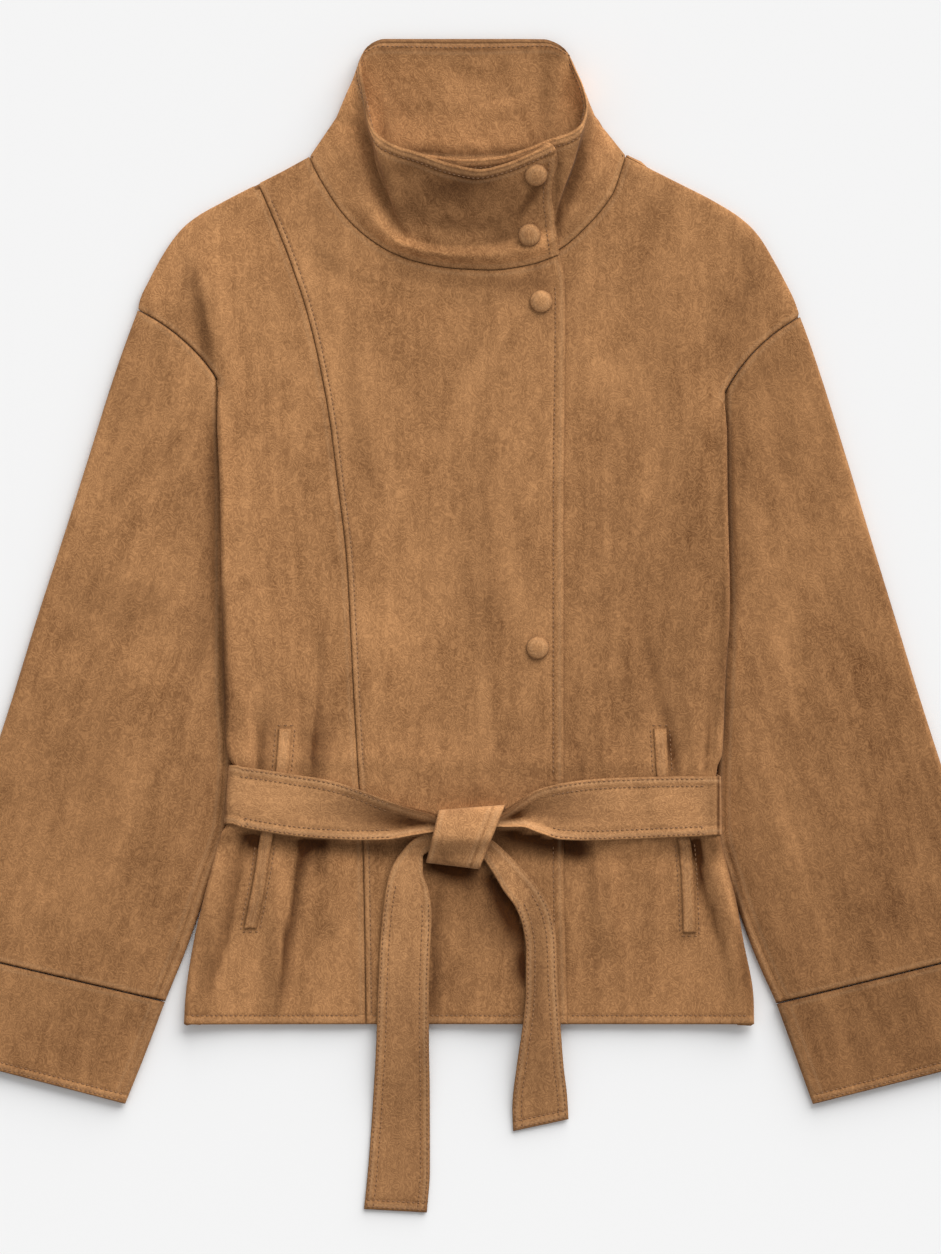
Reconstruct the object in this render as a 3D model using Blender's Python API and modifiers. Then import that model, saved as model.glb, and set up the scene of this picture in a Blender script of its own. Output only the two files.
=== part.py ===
"""A suede jacket laid flat on its back: funnel collar, off-centre front, wide sleeves and tie belt.

Sizes are in millimetres on the cutting table: x runs across from the centre line towards the
wearer's left, y runs up from the hem, and z is the height above the table. `world` turns
them into metres, with the origin on the table under the middle of the whole garment.
"""
import math
from collections import namedtuple

import bpy
import numpy as np
from mathutils import Vector
from mathutils.bvhtree import BVHTree

# ---- Driving sizes, in millimetres ------------------------------------------------------
MM = 0.001
SUEDE = 2.0              # thickness of a panel
COLLAR_SUEDE = 2.4       # two layers and a stiffener
BELT_SUEDE = 2.6         # two layers, stitched round
SEAM = 0.35              # gap between neighbours at a seam
NECK_SEAM = 0.6          # the same at the neck, where the seam is sharply curved
LYING = 0.35             # gap under a piece that lies on another

COLLAR_TOP = 739.0       # hem to the top edge of the back of the collar
TAIL_END = -141.0        # the longer belt end passes the hem by this much
HALF_SPAN = 423.5        # centre line to the outer corner of a cuff
MIDDLE_Y = (COLLAR_TOP + TAIL_END) / 2

FRONT_REST = 6.0         # height of the front, outside face, where it lies on the back
LAP = 40.0               # how far the left front reaches under the right one
LAP_STEP = 2.4           # the right front stands this much higher over the left one
SIDE_ROLL = 3.4          # radius of the soft fold down each side
SHOULDER_ROUND = 9.0     # width over which a front turns down to the back at the shoulder
BACK_INSET = 8.0         # the back panel ends this far inside the side fold
SLEEVE_THICK = 7.6       # both layers of a sleeve, lying flat
SLEEVE_TUCK = 0.32       # share of it lost where the sleeve's inner edge lies under the side fold
CUFF_THICK = 8.4
BELT_WIDTH = 44.0
BELT_LIFT = BELT_SUEDE + 0.4
KNOT_HEIGHT = 17.0
BUTTON_RADIUS = 8.6
BUTTON_HEIGHT = 4.2
BUTTON_CLEAR = 0.45
WELT_WIDTH = 9.6
WELT_THICK = 1.6

SUEDE_COLOUR = (0.36, 0.19, 0.085, 1.0)
BELT_COLOUR = (0.39, 0.21, 0.098, 1.0)
BUTTON_COLOUR = (0.37, 0.20, 0.094, 1.0)

# ---- Pattern tables ----------------------------------------------------------------------
# The fold down each side of the body: where it lies, and how far it stands above FRONT_REST.
SideFold = namedtuple("SideFold", "y right_x left_x lift")
SIDE_FOLDS = [
    SideFold(0, -213.0, 214.5, 4.0),
    SideFold(18, -212.0, 214.2, 4.0),
    SideFold(63, -205.5, 206.5, 4.2),
    SideFold(95, -198.0, 200.5, 4.6),
    SideFold(122, -190.0, 192.5, 4.6),
    SideFold(138, -184.5, 187.0, 4.2),
    SideFold(149, -179.5, 185.4, 4.0),
    SideFold(172, -177.0, 185.2, 4.0),
    SideFold(195, -175.3, 186.6, 4.4),
    SideFold(212, -178.0, 190.0, 6.0),
    SideFold(250, -182.6, 192.6, 7.4),
    SideFold(318, -184.5, 196.3, 8.0),
    SideFold(400, -186.0, 194.6, 8.0),
    SideFold(446, -188.0, 194.2, 6.6),
    SideFold(470, -189.4, 194.6, 4.0),
    SideFold(492, -191.0, 195.2, 2.2),
    SideFold(520, -194.0, 197.4, 1.8),
    SideFold(560, -200.0, 201.0, 1.6),
    SideFold(660, -205.0, 205.0, 1.2),
]

# The seam of the wearer's right front, from the hem up to the shoulder.
SeamPoint = namedtuple("SeamPoint", "y x")
PRINCESS = [
    SeamPoint(0, -76.5), SeamPoint(135, -78.8), SeamPoint(180, -81.8), SeamPoint(243, -85.5),
    SeamPoint(300, -88.3), SeamPoint(348, -91.0), SeamPoint(408, -98.0), SeamPoint(451, -103.4),
    SeamPoint(486, -109.5), SeamPoint(529, -119.4), SeamPoint(568, -131.8), SeamPoint(610, -148.5),
    SeamPoint(629, -156.8),
]
# The free edge of the right front, which laps over the left one.
FRONT_EDGE = [
    SeamPoint(0, 75.0), SeamPoint(60, 73.2), SeamPoint(122, 72.0), SeamPoint(393, 72.0),
    SeamPoint(500, 73.3), SeamPoint(548, 73.5), SeamPoint(565, 72.0), SeamPoint(577, 69.0),
]

# Armholes: straight from the shoulder point to the underarm, bowed towards the neck.
Armhole = namedtuple("Armhole", "shoulder_x shoulder_y underarm_x underarm_y bow")
ARMHOLE = {
    "right": Armhole(-247.5, 535.5, -186.8, 481.9, 5.6),
    "left": Armhole(249.0, 530.5, 191.6, 471.8, 6.2),
}

# Rungs across a panel, from its outer edge to its inner one; bow bends a rung sideways.
Rung = namedtuple("Rung", "outer_x outer_y inner_x inner_y bow")
RIGHT_SHOULDER = [
    Rung(-246.0, 543.4, -133.0, 571.5, 0.0),
    Rung(-231.0, 573.4, -139.0, 587.0, 0.0),
    Rung(-208.5, 602.5, -146.2, 604.5, 0.0),
    Rung(-182.0, 618.4, -151.6, 617.2, 0.0),
    Rung(-162.0, 628.6, -155.6, 626.4, 0.0),
]
RIGHT_NECK = [
    Rung(-117.4, 520.0, 73.4, 497.0, 5.0),
    Rung(-131.1, 566.0, 73.5, 525.0, 15.0),
    Rung(-145.7, 603.0, 73.5, 546.0, 27.0),
    Rung(-156.5, 629.0, 73.0, 558.0, 37.0),
    Rung(-139.0, 639.6, 71.5, 567.0, 40.5),
    Rung(-118.5, 650.0, 69.0, 576.6, 43.0),
]
LEFT_SHOULDER = [
    Rung(245.0, 543.4, 33.0, 508.0, 0.0),
    Rung(229.0, 573.4, 33.0, 522.0, 0.0),
    Rung(206.5, 602.6, 33.0, 534.0, 0.0),
    Rung(181.0, 619.4, 33.0, 545.0, -3.0),
    Rung(150.0, 634.8, 33.0, 556.0, -9.5),
    Rung(118.0, 650.8, 33.0, 566.6, -17.5),
]
BACK_SHOULDER = [
    Rung(-246.0, 543.4, 245.0, 543.4, 0.0),
    Rung(-231.0, 573.4, 229.0, 573.4, 0.0),
    Rung(-208.5, 602.5, 206.5, 602.6, 0.0),
    Rung(-182.0, 618.4, 181.0, 619.4, 0.0),
    Rung(-153.0, 633.6, 151.5, 634.2, -3.0),
    Rung(-118.5, 650.0, 118.0, 650.8, -6.0),
]

# Sleeves, from the armhole to the cuff seam, and cuffs, from the seam to the edge.
RIGHT_SLEEVE = [
    Rung(-255.8, 513.4, -184.6, 446.0, 4.0),
    Rung(-266.2, 483.4, -182.4, 405.0, 2.0),
    Rung(-285.0, 423.4, -181.2, 352.0, 0.0),
    Rung(-304.0, 363.4, -180.4, 300.0, 0.0),
    Rung(-323.5, 303.4, -179.8, 251.0, 0.0),
    Rung(-342.0, 243.4, -180.4, 204.0, 0.0),
    Rung(-360.0, 188.0, -184.6, 150.0, 0.0),
    Rung(-375.5, 140.0, -195.0, 108.0, 0.0),
    Rung(-389.5, 97.0, -210.6, 58.0, 0.0),
    Rung(-401.5, 58.5, -227.0, 17.5, 0.0),
]
LEFT_SLEEVE = [
    Rung(255.4, 513.4, 191.4, 438.0, 4.0),
    Rung(265.5, 483.4, 190.6, 400.0, 2.0),
    Rung(284.2, 423.4, 191.6, 350.0, 0.0),
    Rung(302.4, 363.4, 192.6, 303.0, 0.0),
    Rung(320.8, 303.4, 190.6, 252.0, 0.0),
    Rung(339.2, 243.4, 190.6, 206.0, 0.0),
    Rung(358.0, 185.0, 190.6, 146.0, 0.0),
    Rung(373.5, 138.0, 199.2, 104.0, 0.0),
    Rung(388.0, 95.0, 213.6, 56.0, 0.0),
    Rung(400.5, 57.5, 231.2, 16.0, 0.0),
]
CUFF_ROWS = {
    "right": [
        Rung(-401.8, 57.9, -227.2, 16.9, 0.0),
        Rung(-413.0, 18.0, -242.0, -22.0, 0.0),
        Rung(-HALF_SPAN, -16.0, -257.0, -59.4, 0.0),
    ],
    "left": [
        Rung(400.8, 56.9, 231.4, 15.4, 0.0),
        Rung(412.6, 18.0, 245.0, -22.0, 0.0),
        Rung(HALF_SPAN, -18.0, 258.6, -59.6, 0.0),
    ],
}

# The collar, station by station round the neck: seam at its base, the bend where it starts
# to stand, and its rim. roll rounds the part below the bend and belly swells the part above.
Station = namedtuple("Station", "base_x base_y bend_x bend_y bend_z rim_x rim_y rim_z roll belly")
COLLAR = [
    Station(68.6, 577.0, 65.2, 600.0, 14.0, 64.0, 660.4, 33.0, 3.5, 0.0),
    Station(45.0, 569.2, 44.0, 592.0, 13.0, 45.0, 651.4, 34.0, 4.5, -1.0),
    Station(18.0, 565.6, 18.0, 586.0, 12.4, 27.0, 643.9, 35.5, 5.0, -2.0),
    Station(-9.0, 566.8, -7.0, 584.0, 12.0, 9.0, 640.1, 36.0, 5.0, -2.0),
    Station(-33.0, 570.6, -28.0, 586.0, 11.6, -14.0, 644.5, 36.0, 5.5, -2.0),
    Station(-55.0, 577.8, -45.0, 591.0, 11.6, -38.0, 653.0, 35.0, 5.5, -1.0),
    Station(-76.5, 591.0, -53.5, 602.0, 12.0, -56.2, 658.9, 33.5, 5.0, 2.0),
    Station(-94.5, 608.8, -61.5, 623.0, 12.5, -71.2, 670.1, 32.0, 4.0, 3.0),
    Station(-108.0, 629.0, -69.5, 648.0, 12.0, -76.5, 685.1, 30.0, 3.5, 3.0),
    Station(-114.6, 641.0, -80.0, 670.0, 10.0, -78.3, 700.0, 26.0, 2.5, 1.5),
    Station(-118.7, 650.6, -99.0, 679.0, 5.5, -80.7, 721.0, 14.0, 0.0, 0.0),
    Station(-112.0, 652.4, -93.5, 685.0, 1.0, -76.0, 733.0, 7.0, 0.0, 0.0),
    Station(-95.0, 654.0, -84.0, 692.0, 0.0, -63.0, 739.0, 5.0, 0.0, 0.0),
    Station(-50.0, 656.4, -44.0, 697.0, 0.0, -32.0, 739.0, 4.4, 0.0, 0.0),
    Station(0.0, 657.4, 0.0, 698.0, 0.0, -2.0, 739.0, 4.4, 0.0, 0.0),
    Station(50.0, 656.4, 44.0, 697.0, 0.0, 29.0, 739.0, 4.4, 0.0, 0.0),
    Station(94.0, 654.2, 84.0, 690.0, 0.0, 57.0, 738.8, 5.0, 0.0, 0.0),
    Station(111.4, 653.0, 92.5, 682.0, 1.0, 72.4, 732.0, 7.0, 0.0, 0.0),
    Station(118.2, 651.4, 97.6, 676.0, 5.5, 79.6, 718.0, 14.0, 0.0, 0.0),
    Station(114.4, 639.0, 93.0, 664.0, 9.5, 86.5, 702.0, 24.0, 2.0, 0.5),
    Station(109.0, 624.0, 84.6, 651.0, 11.5, 89.2, 688.0, 28.0, 3.0, 2.5),
    Station(101.0, 612.0, 78.6, 634.0, 11.5, 86.5, 676.5, 30.0, 3.5, 2.5),
    Station(87.0, 596.6, 71.5, 615.0, 11.0, 77.0, 668.0, 30.5, 3.0, 1.0),
    Station(72.0, 583.4, 62.0, 602.0, 9.0, 62.0, 664.5, 29.5, 2.0, 0.0),
    Station(45.0, 569.8, 43.0, 594.0, 8.4, 45.0, 659.0, 29.0, 2.0, -1.0),
    Station(18.0, 566.2, 18.0, 590.0, 8.0, 24.0, 654.5, 29.5, 2.0, -1.5),
    Station(-9.0, 567.4, -6.0, 588.0, 7.6, 0.0, 653.0, 29.5, 2.0, -1.5),
    Station(-28.0, 570.6, -23.0, 590.0, 7.6, -32.0, 655.0, 29.0, 2.0, -1.5),
]
FIRST_BACK_STATION, LAST_BACK_STATION = 11, 17
HIDDEN_NECK_STATION = 25  # the left front's neck edge ends here, under the right one
NECK_MIDDLE_Y = 660.0

# Largest folds of the fronts: a soft ridge, or a trough where rise is below zero.
Fold = namedtuple("Fold", "x0 y0 x1 y1 rise half_width")
FOLDS = [
    Fold(-199.0, 575.0, -172.0, 440.0, 1.8, 17.0),
    Fold(201.0, 570.0, 177.0, 430.0, 1.8, 17.0),
    Fold(-109.0, 196.0, -112.0, 360.0, -1.6, 22.0),
    Fold(-142.0, 190.0, -150.0, 330.0, 2.0, 26.0),
    Fold(-147.0, 146.0, -141.0, 0.0, 3.6, 15.0),
    Fold(-130.0, 142.0, -131.0, -4.0, -2.0, 12.0),
    Fold(-158.0, 144.0, -197.0, 8.0, 2.4, 12.0),
    Fold(128.0, 345.0, 149.0, 196.0, -1.6, 18.0),
    Fold(170.0, 340.0, 172.0, 190.0, 2.0, 18.0),
    Fold(104.0, 142.0, 106.0, 50.0, 1.8, 12.0),
    Fold(165.0, 146.0, 187.0, 60.0, -2.0, 10.0),
    Fold(176.0, 146.0, 208.0, 0.0, 3.0, 13.0),
]

# The welts of the two slanting pockets, along their middle.
WELTS = {
    "right": [SeamPoint(222, -136.9), SeamPoint(190, -139.6), SeamPoint(140, -153.6),
              SeamPoint(112, -158.8), SeamPoint(72, -163.1)],
    "left": [SeamPoint(222, 144.0), SeamPoint(187, 146.0), SeamPoint(131, 163.0),
             SeamPoint(100, 165.0), SeamPoint(69, 166.1)],
}

# The belt in front, from the side fold to the knot: cup raises its edges above its middle.
BeltRow = namedtuple("BeltRow", "outer_x top_y inner_x bottom_y lift cup")
BELT_FRONT = {
    "right": [
        BeltRow(-170.0, 193.6, -170.0, 148.0, 0.0, 0.0),
        BeltRow(-150.0, 190.8, -150.0, 144.2, 0.0, 0.0),
        BeltRow(-130.0, 187.6, -130.0, 141.2, 0.0, 0.2),
        BeltRow(-107.0, 184.0, -107.0, 139.2, 0.3, 0.5),
        BeltRow(-82.5, 176.8, -82.5, 138.2, 0.8, 1.5),
        BeltRow(-60.0, 167.8, -60.0, 138.8, 2.0, 3.0),
        BeltRow(-42.0, 161.6, -42.0, 142.0, 3.4, 3.4),
        BeltRow(-26.0, 157.0, -26.0, 144.6, 4.0, 2.0),
        BeltRow(-19.0, 152.0, -19.0, 145.6, 4.2, 1.0),
    ],
    "left": [
        BeltRow(177.0, 186.4, 177.0, 141.4, 0.0, 0.0),
        BeltRow(150.0, 186.2, 150.0, 140.2, 0.0, 0.0),
        BeltRow(124.0, 185.6, 124.0, 139.0, 0.0, 0.2),
        BeltRow(93.0, 184.1, 93.0, 138.0, 0.3, 0.6),
        BeltRow(70.0, 181.0, 70.0, 138.8, 0.8, 1.8),
        BeltRow(53.0, 176.4, 53.0, 144.0, 2.0, 3.4),
        BeltRow(40.0, 168.0, 40.0, 148.4, 3.4, 3.4),
        BeltRow(30.0, 161.0, 30.0, 148.4, 4.0, 2.0),
        BeltRow(19.0, 155.0, 19.0, 148.6, 4.2, 1.0),
    ],
}
BELT_TURN_IN = ((-9.4, 0.0), (-13.0, 0.0))
BELT_END = {"right": (SeamPoint(150.4, -183.2), SeamPoint(194.6, -179.2)),
            "left": (SeamPoint(142.1, 190.2), SeamPoint(186.4, 189.6))}

# The hanging ends of the belt, from inside the knot down: its two edges and how far it is
# held clear of what it lies on.
TailRow = namedtuple("TailRow", "near_x near_y far_x far_y clear")
TAILS = {
    "right": [
        TailRow(-16.0, 133.0, -13.0, 142.0, 0.6),
        TailRow(-25.0, 131.0, -24.0, 145.0, 1.0),
        TailRow(-33.6, 126.0, -38.0, 141.0, 2.6),
        TailRow(-33.6, 115.0, -48.5, 131.4, 3.2),
        TailRow(-28.6, 98.0, -58.6, 114.5, 2.4),
        TailRow(-27.2, 82.0, -62.8, 94.0, 1.2),
        TailRow(-28.2, 56.0, -65.8, 64.0, 0.2),
        TailRow(-29.2, 22.0, -67.8, 22.0, 0.0),
        TailRow(-29.2, -8.0, -68.6, -8.0, 0.0),
        TailRow(-28.6, -50.0, -70.8, -50.0, 0.0),
        TailRow(-28.5, -109.0, -75.0, -109.0, 0.0),
        TailRow(-30.8, TAIL_END, -78.0, -138.4, 0.0),
    ],
    "left": [
        TailRow(-2.0, 133.0, 5.0, 143.0, 0.6),
        TailRow(8.0, 127.5, 17.0, 139.0, 1.0),
        TailRow(17.6, 115.4, 29.0, 129.0, 2.6),
        TailRow(26.5, 100.6, 41.0, 116.6, 3.2),
        TailRow(35.6, 88.0, 54.0, 101.0, 2.4),
        TailRow(40.8, 74.0, 62.6, 84.0, 1.2),
        TailRow(43.3, 56.0, 66.2, 64.0, 0.2),
        TailRow(43.2, 27.0, 67.4, 30.0, 0.0),
        TailRow(41.4, 4.0, 69.0, 5.0, 0.0),
        TailRow(36.6, -30.0, 71.6, -30.0, 0.0),
        TailRow(33.2, -62.0, 74.4, -54.0, 0.0),
        TailRow(33.8, -80.0, 75.4, -71.0, 0.0),
    ],
}

# Corners of the knot's wrap, clockwise from the one by the right span's upper edge.
KNOT_TOP = ((-22.0, 161.0), (28.0, 165.0))
KNOT_BOTTOM = ((-31.5, 121.4), (8.6, 116.6))

# Snap buttons: two on the collar and two down the front.
COLLAR_BUTTONS = ((50.7, 636.4), (46.0, 591.6))
FRONT_BUTTONS = ((54.8, 542.0), (52.1, 282.5))


# ---- Curves and heights ------------------------------------------------------------------
def world(point):
    x, y, z = point
    return (x * MM, (y - MIDDLE_Y) * MM, z * MM)


def smooth_step(value):
    """0 below 0, 1 above 1, and an even S between them."""
    clipped = min(1.0, max(0.0, value))
    return clipped * clipped * (3.0 - 2.0 * clipped)


def soft_curve(knots, values, where):
    """Reads a curve through values at knots, never swinging past them, at each of where."""
    knots = np.asarray(knots, float)
    values = np.asarray(values, float)
    where = np.clip(np.asarray(where, float), knots[0], knots[-1])
    widths = np.diff(knots)
    slopes = np.diff(values) / widths
    tangents = np.zeros(len(knots))
    tangents[0], tangents[-1] = slopes[0], slopes[-1]
    for i in range(1, len(knots) - 1):
        if slopes[i - 1] * slopes[i] > 0:
            before = 2 * widths[i] + widths[i - 1]
            after = widths[i] + 2 * widths[i - 1]
            tangents[i] = (before + after) / (before / slopes[i - 1] + after / slopes[i])
    spans = np.clip(np.searchsorted(knots, where, side="right") - 1, 0, len(widths) - 1)
    t = (where - knots[spans]) / widths[spans]
    h = widths[spans]
    return ((1 + 2 * t) * (1 - t) ** 2 * values[spans] + t * (1 - t) ** 2 * h * tangents[spans]
            + t * t * (3 - 2 * t) * values[spans + 1] + t * t * (t - 1) * h * tangents[spans + 1])


def along_seam(seam, y):
    """x of a seam, given as points from low y to high y or back, at this y."""
    points = sorted(seam)
    return float(soft_curve([p.y for p in points], [p.x for p in points], [y])[0])


def side_fold(side, y):
    """(x, lift) of the fold down one side of the body at this y."""
    ys = [row.y for row in SIDE_FOLDS]
    xs = [row.right_x if side == "right" else row.left_x for row in SIDE_FOLDS]
    lifts = [row.lift for row in SIDE_FOLDS]
    return float(soft_curve(ys, xs, [y])[0]), float(soft_curve(ys, lifts, [y])[0])


def belt_middle(x):
    """y of the belt's middle where it goes round the body: a little lower on the left."""
    return 168.4 - 0.0217 * x


def belt_band(x, y):
    """1 over the belt's strip behind the back, falling to 0 above and below it."""
    off = abs(y - belt_middle(x))
    return smooth_step((BELT_WIDTH / 2 + 22.0 - off) / 20.0)


def back_height(x, y):
    """Upper face of the back panel."""
    return SUEDE + BELT_LIFT * belt_band(x, y)


def fold_rise(fold, x, y):
    """What one fold adds at a point: a rounded section that fades out at its two ends."""
    run_x, run_y = fold.x1 - fold.x0, fold.y1 - fold.y0
    length_squared = run_x * run_x + run_y * run_y
    share = ((x - fold.x0) * run_x + (y - fold.y0) * run_y) / length_squared
    if not 0.0 < share < 1.0:
        return 0.0
    across = abs((x - fold.x0) * run_y - (y - fold.y0) * run_x) / math.sqrt(length_squared)
    if across >= fold.half_width:
        return 0.0
    section = (1.0 - (across / fold.half_width) ** 2) ** 2
    return fold.rise * section * (1.0 - (2.0 * share - 1.0) ** 4)


def front_height(x, y):
    """Outer face of a front that lies on the back panel."""
    fold_x, lift = side_fold("right" if x < 0 else "left", y)
    from_fold = max(0.0, abs(fold_x) - abs(x))
    puff = lift * max(0.0, 1.0 - from_fold / 60.0) ** 2
    height = (FRONT_REST + BELT_LIFT * belt_band(x, y) + puff
              + sum(fold_rise(fold, x, y) for fold in FOLDS))
    if y < 500.0:
        return height
    inside = min(1.0, from_shoulder(x, y) / SHOULDER_ROUND)
    edge = 2 * SUEDE + SEAM
    return edge + (height - edge) * math.sqrt(1.0 - (1.0 - inside) ** 2)


def shoulder_line(side):
    """Points of the shoulder's edge, from the shoulder point to the neck."""
    table = RIGHT_SHOULDER + [RIGHT_NECK[-1]] if side == "right" else LEFT_SHOULDER
    hole = ARMHOLE[side]
    return [(hole.shoulder_x, hole.shoulder_y)] + [(row.outer_x, row.outer_y) for row in table]


def from_shoulder(x, y):
    """Distance from a point to the shoulder's edge."""
    line = shoulder_line("right" if x < 0 else "left")
    nearest = 1e9
    for (x0, y0), (x1, y1) in zip(line, line[1:]):
        run_x, run_y = x1 - x0, y1 - y0
        share = ((x - x0) * run_x + (y - y0) * run_y) / (run_x * run_x + run_y * run_y)
        share = min(1.0, max(0.0, share))
        nearest = min(nearest, math.hypot(x - x0 - run_x * share, y - y0 - run_y * share))
    return nearest


def lapped_height(x, y):
    """Outer face of the right front, which climbs over the hidden edge of the left one."""
    hidden_edge = along_seam(FRONT_EDGE, y) - LAP
    return front_height(x, y) + LAP_STEP * smooth_step((x - hidden_edge + 46.0) / 40.0)


def shapes_of(pieces):
    """Search trees of pieces as built, for reading the height of what lies beneath another."""
    bpy.context.view_layer.update()
    graph = bpy.context.evaluated_depsgraph_get()
    return [BVHTree.FromObject(piece, graph) for piece in pieces]


def height_over(shapes, x, y, reach):
    """Height of the highest face of these shapes within reach of a place, 0 over the table."""
    highest = 0.0
    for across in (-reach, -reach / 2, 0.0, reach / 2, reach):
        for along in (-reach / 2, 0.0, reach / 2):
            above = Vector(world((x + across, y + along, 200.0)))
            for shape in shapes:
                hit = shape.ray_cast(above, Vector((0.0, 0.0, -1.0)))[0]
                if hit is not None:
                    highest = max(highest, hit.z / MM)
    return highest


def drop_past_hem(shapes, x, y, reach):
    """What a belt end lies on: the fronts, then a slope from the hem down to the table."""
    over = height_over(shapes, x, max(y, 4.0), reach)
    return over * smooth_step((y + 38.0) / 34.0)


# ---- Building ----------------------------------------------------------------------------
def clear_scene():
    for item in list(bpy.data.objects):
        bpy.data.objects.remove(item, do_unlink=True)


def make_collection(name):
    collection = bpy.data.collections.new(name)
    bpy.context.scene.collection.children.link(collection)
    return collection


def make_material(name, colour, roughness):
    material = bpy.data.materials.new(name)
    material.use_nodes = True
    shader = material.node_tree.nodes["Principled BSDF"]
    shader.inputs["Base Color"].default_value = colour
    shader.inputs["Roughness"].default_value = roughness
    shader.inputs["Metallic"].default_value = 0.0
    return material


def loft(name, rows, material, thickness, ring=False):
    """A wall through rows of points: the rows are its outer face, and thickness goes inwards.

    Rows run up the garment and points run towards the wearer's right, so that faces look up.
    """
    count = len(rows[0])
    points = [world(point) for row in rows for point in row]
    last = count if ring else count - 1
    faces = []
    for i in range(len(rows) - 1):
        for j in range(last):
            k = (j + 1) % count
            faces.append((i * count + j, (i + 1) * count + j, (i + 1) * count + k, i * count + k))
    mesh = bpy.data.meshes.new(name)
    mesh.from_pydata(points, [], faces)
    mesh.materials.append(material)
    mesh.update()
    piece = bpy.data.objects.new(name, mesh)
    COLLECTION.objects.link(piece)
    wall = piece.modifiers.new("wall", "SOLIDIFY")
    wall.thickness = thickness * MM
    wall.offset = -1.0
    mesh.shade_smooth()
    mesh.set_sharp_from_angle(angle=math.radians(40))
    return piece


def facing_up(rows):
    """The rows with their points turned round if their faces would look down."""
    middle = len(rows) // 2
    start, across, up = (np.array(rows[i][j]) for i, j in ((middle, 0), (middle, -1), (middle + 1, 0)))
    looks_up = np.cross(up - start, across - start)[2] > 0
    return rows if looks_up else [list(reversed(row)) for row in rows]


def read_table(table, knots, where):
    """Rows read from a table at other places than its own, on soft curves through its rows."""
    columns = [soft_curve(knots, [row[i] for row in table], where) for i in range(len(table[0]))]
    return [type(table[0])(*values) for values in zip(*columns)]


def read_evenly(table, count):
    """Rungs spaced evenly between the first row of a table and its last."""
    ends = np.array([row[:2] for row in table], float)
    inner = np.array([row[2:4] for row in table], float)
    steps = 0.5 * (np.linalg.norm(np.diff(ends, axis=0), axis=1)
                   + np.linalg.norm(np.diff(inner, axis=0), axis=1))
    travel = np.concatenate([[0.0], np.cumsum(steps)])
    return read_table(table, travel, np.linspace(0.0, travel[-1], count))


def bowed(rung, share):
    """A point of a rung: share 0 at its outer end, 1 at its inner end."""
    run_x, run_y = rung.inner_x - rung.outer_x, rung.inner_y - rung.outer_y
    length = math.hypot(run_x, run_y)
    bend = rung.bow * 4.0 * share * (1.0 - share) / length
    return rung.outer_x + run_x * share + run_y * bend, rung.outer_y + run_y * share - run_x * bend


def armhole_rung(side):
    """The armhole as a rung from the shoulder point, its bow turned towards the neck."""
    hole = ARMHOLE[side]
    bow = -hole.bow if side == "right" else hole.bow
    return Rung(hole.shoulder_x, hole.shoulder_y, hole.underarm_x, hole.underarm_y, bow)


def armhole_edge(side, share, gap=SEAM):
    """A point of the armhole, moved towards the body by the gap."""
    x, y = bowed(armhole_rung(side), share)
    inward = 1.0 if side == "right" else -1.0
    return x + inward * gap * 0.66, y + gap * 0.75


def outward(edge, i, side):
    """Unit direction that leaves the cloth at point i of an edge that runs up one side."""
    before, after = edge[max(i - 1, 0)], edge[min(i + 1, len(edge) - 1)]
    run_x, run_y = after[0] - before[0], after[1] - before[1]
    length = math.hypot(run_x, run_y)
    return (-run_y / length, run_x / length) if side == "right" else (run_y / length, -run_x / length)


def rolled_edge(top_z, radius, turn, ends, count):
    """(out, z) down a rolled edge: an arc of this turn, then straight to each end point."""
    sweep = math.radians(turn)
    points = [(-radius + radius * math.sin(sweep * i / count),
               top_z - radius * (1.0 - math.cos(sweep * i / count))) for i in range(1, count + 1)]
    return points + list(ends)


def front_rows(rungs, turns, height, columns, side):
    """Rows of a front from its outer edge to its inner edge.

    turns says how far each row's outer edge rolls round: wholly, under the back, at SIDE_TURN,
    and not at all at 0, where it keeps to the height that the front has there.
    """
    edge = [(rung.outer_x, rung.outer_y) for rung in rungs]
    rows = []
    for i, (rung, turn) in enumerate(zip(rungs, turns)):
        out_x, out_y = outward(edge, i, side)
        start = rung._replace(outer_x=rung.outer_x - out_x * SIDE_ROLL,
                              outer_y=rung.outer_y - out_y * SIDE_ROLL)
        places = [bowed(start, j / columns) for j in range(columns + 1)]
        flat = [(x, y, height(x, y)) for x, y in places]
        if turn == SIDE_TURN:
            floor = back_height(rung.outer_x, rung.outer_y) + LYING
            arc_end = flat[0][2] - SIDE_ROLL * (1.0 - math.cos(math.radians(turn)))
            ends = [(-BACK_INSET * 0.9, (arc_end + floor) / 2), (-BACK_INSET - 4.5, floor)]
            profile = rolled_edge(flat[0][2], SIDE_ROLL, turn, ends, 4)
        elif turn > 0.0:
            profile = rolled_edge(flat[0][2], SIDE_ROLL, turn, [], 6)
        else:
            profile = [(-SIDE_ROLL * (1.0 - k / 6.0), None) for k in range(1, 7)]
        roll = []
        for out, z in profile:
            x, y = rung.outer_x + out_x * out, rung.outer_y + out_y * out
            roll.append((x, y, height(x, y) if z is None else z))
        rows.append(list(reversed(roll)) + flat)
    return rows


def body_rungs(side, inner_x, levels):
    """Level rungs from the side fold to an inner seam, at each of the levels."""
    return [Rung(side_fold(side, y)[0], y, inner_x(y), y, 0.0) for y in levels]


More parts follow.
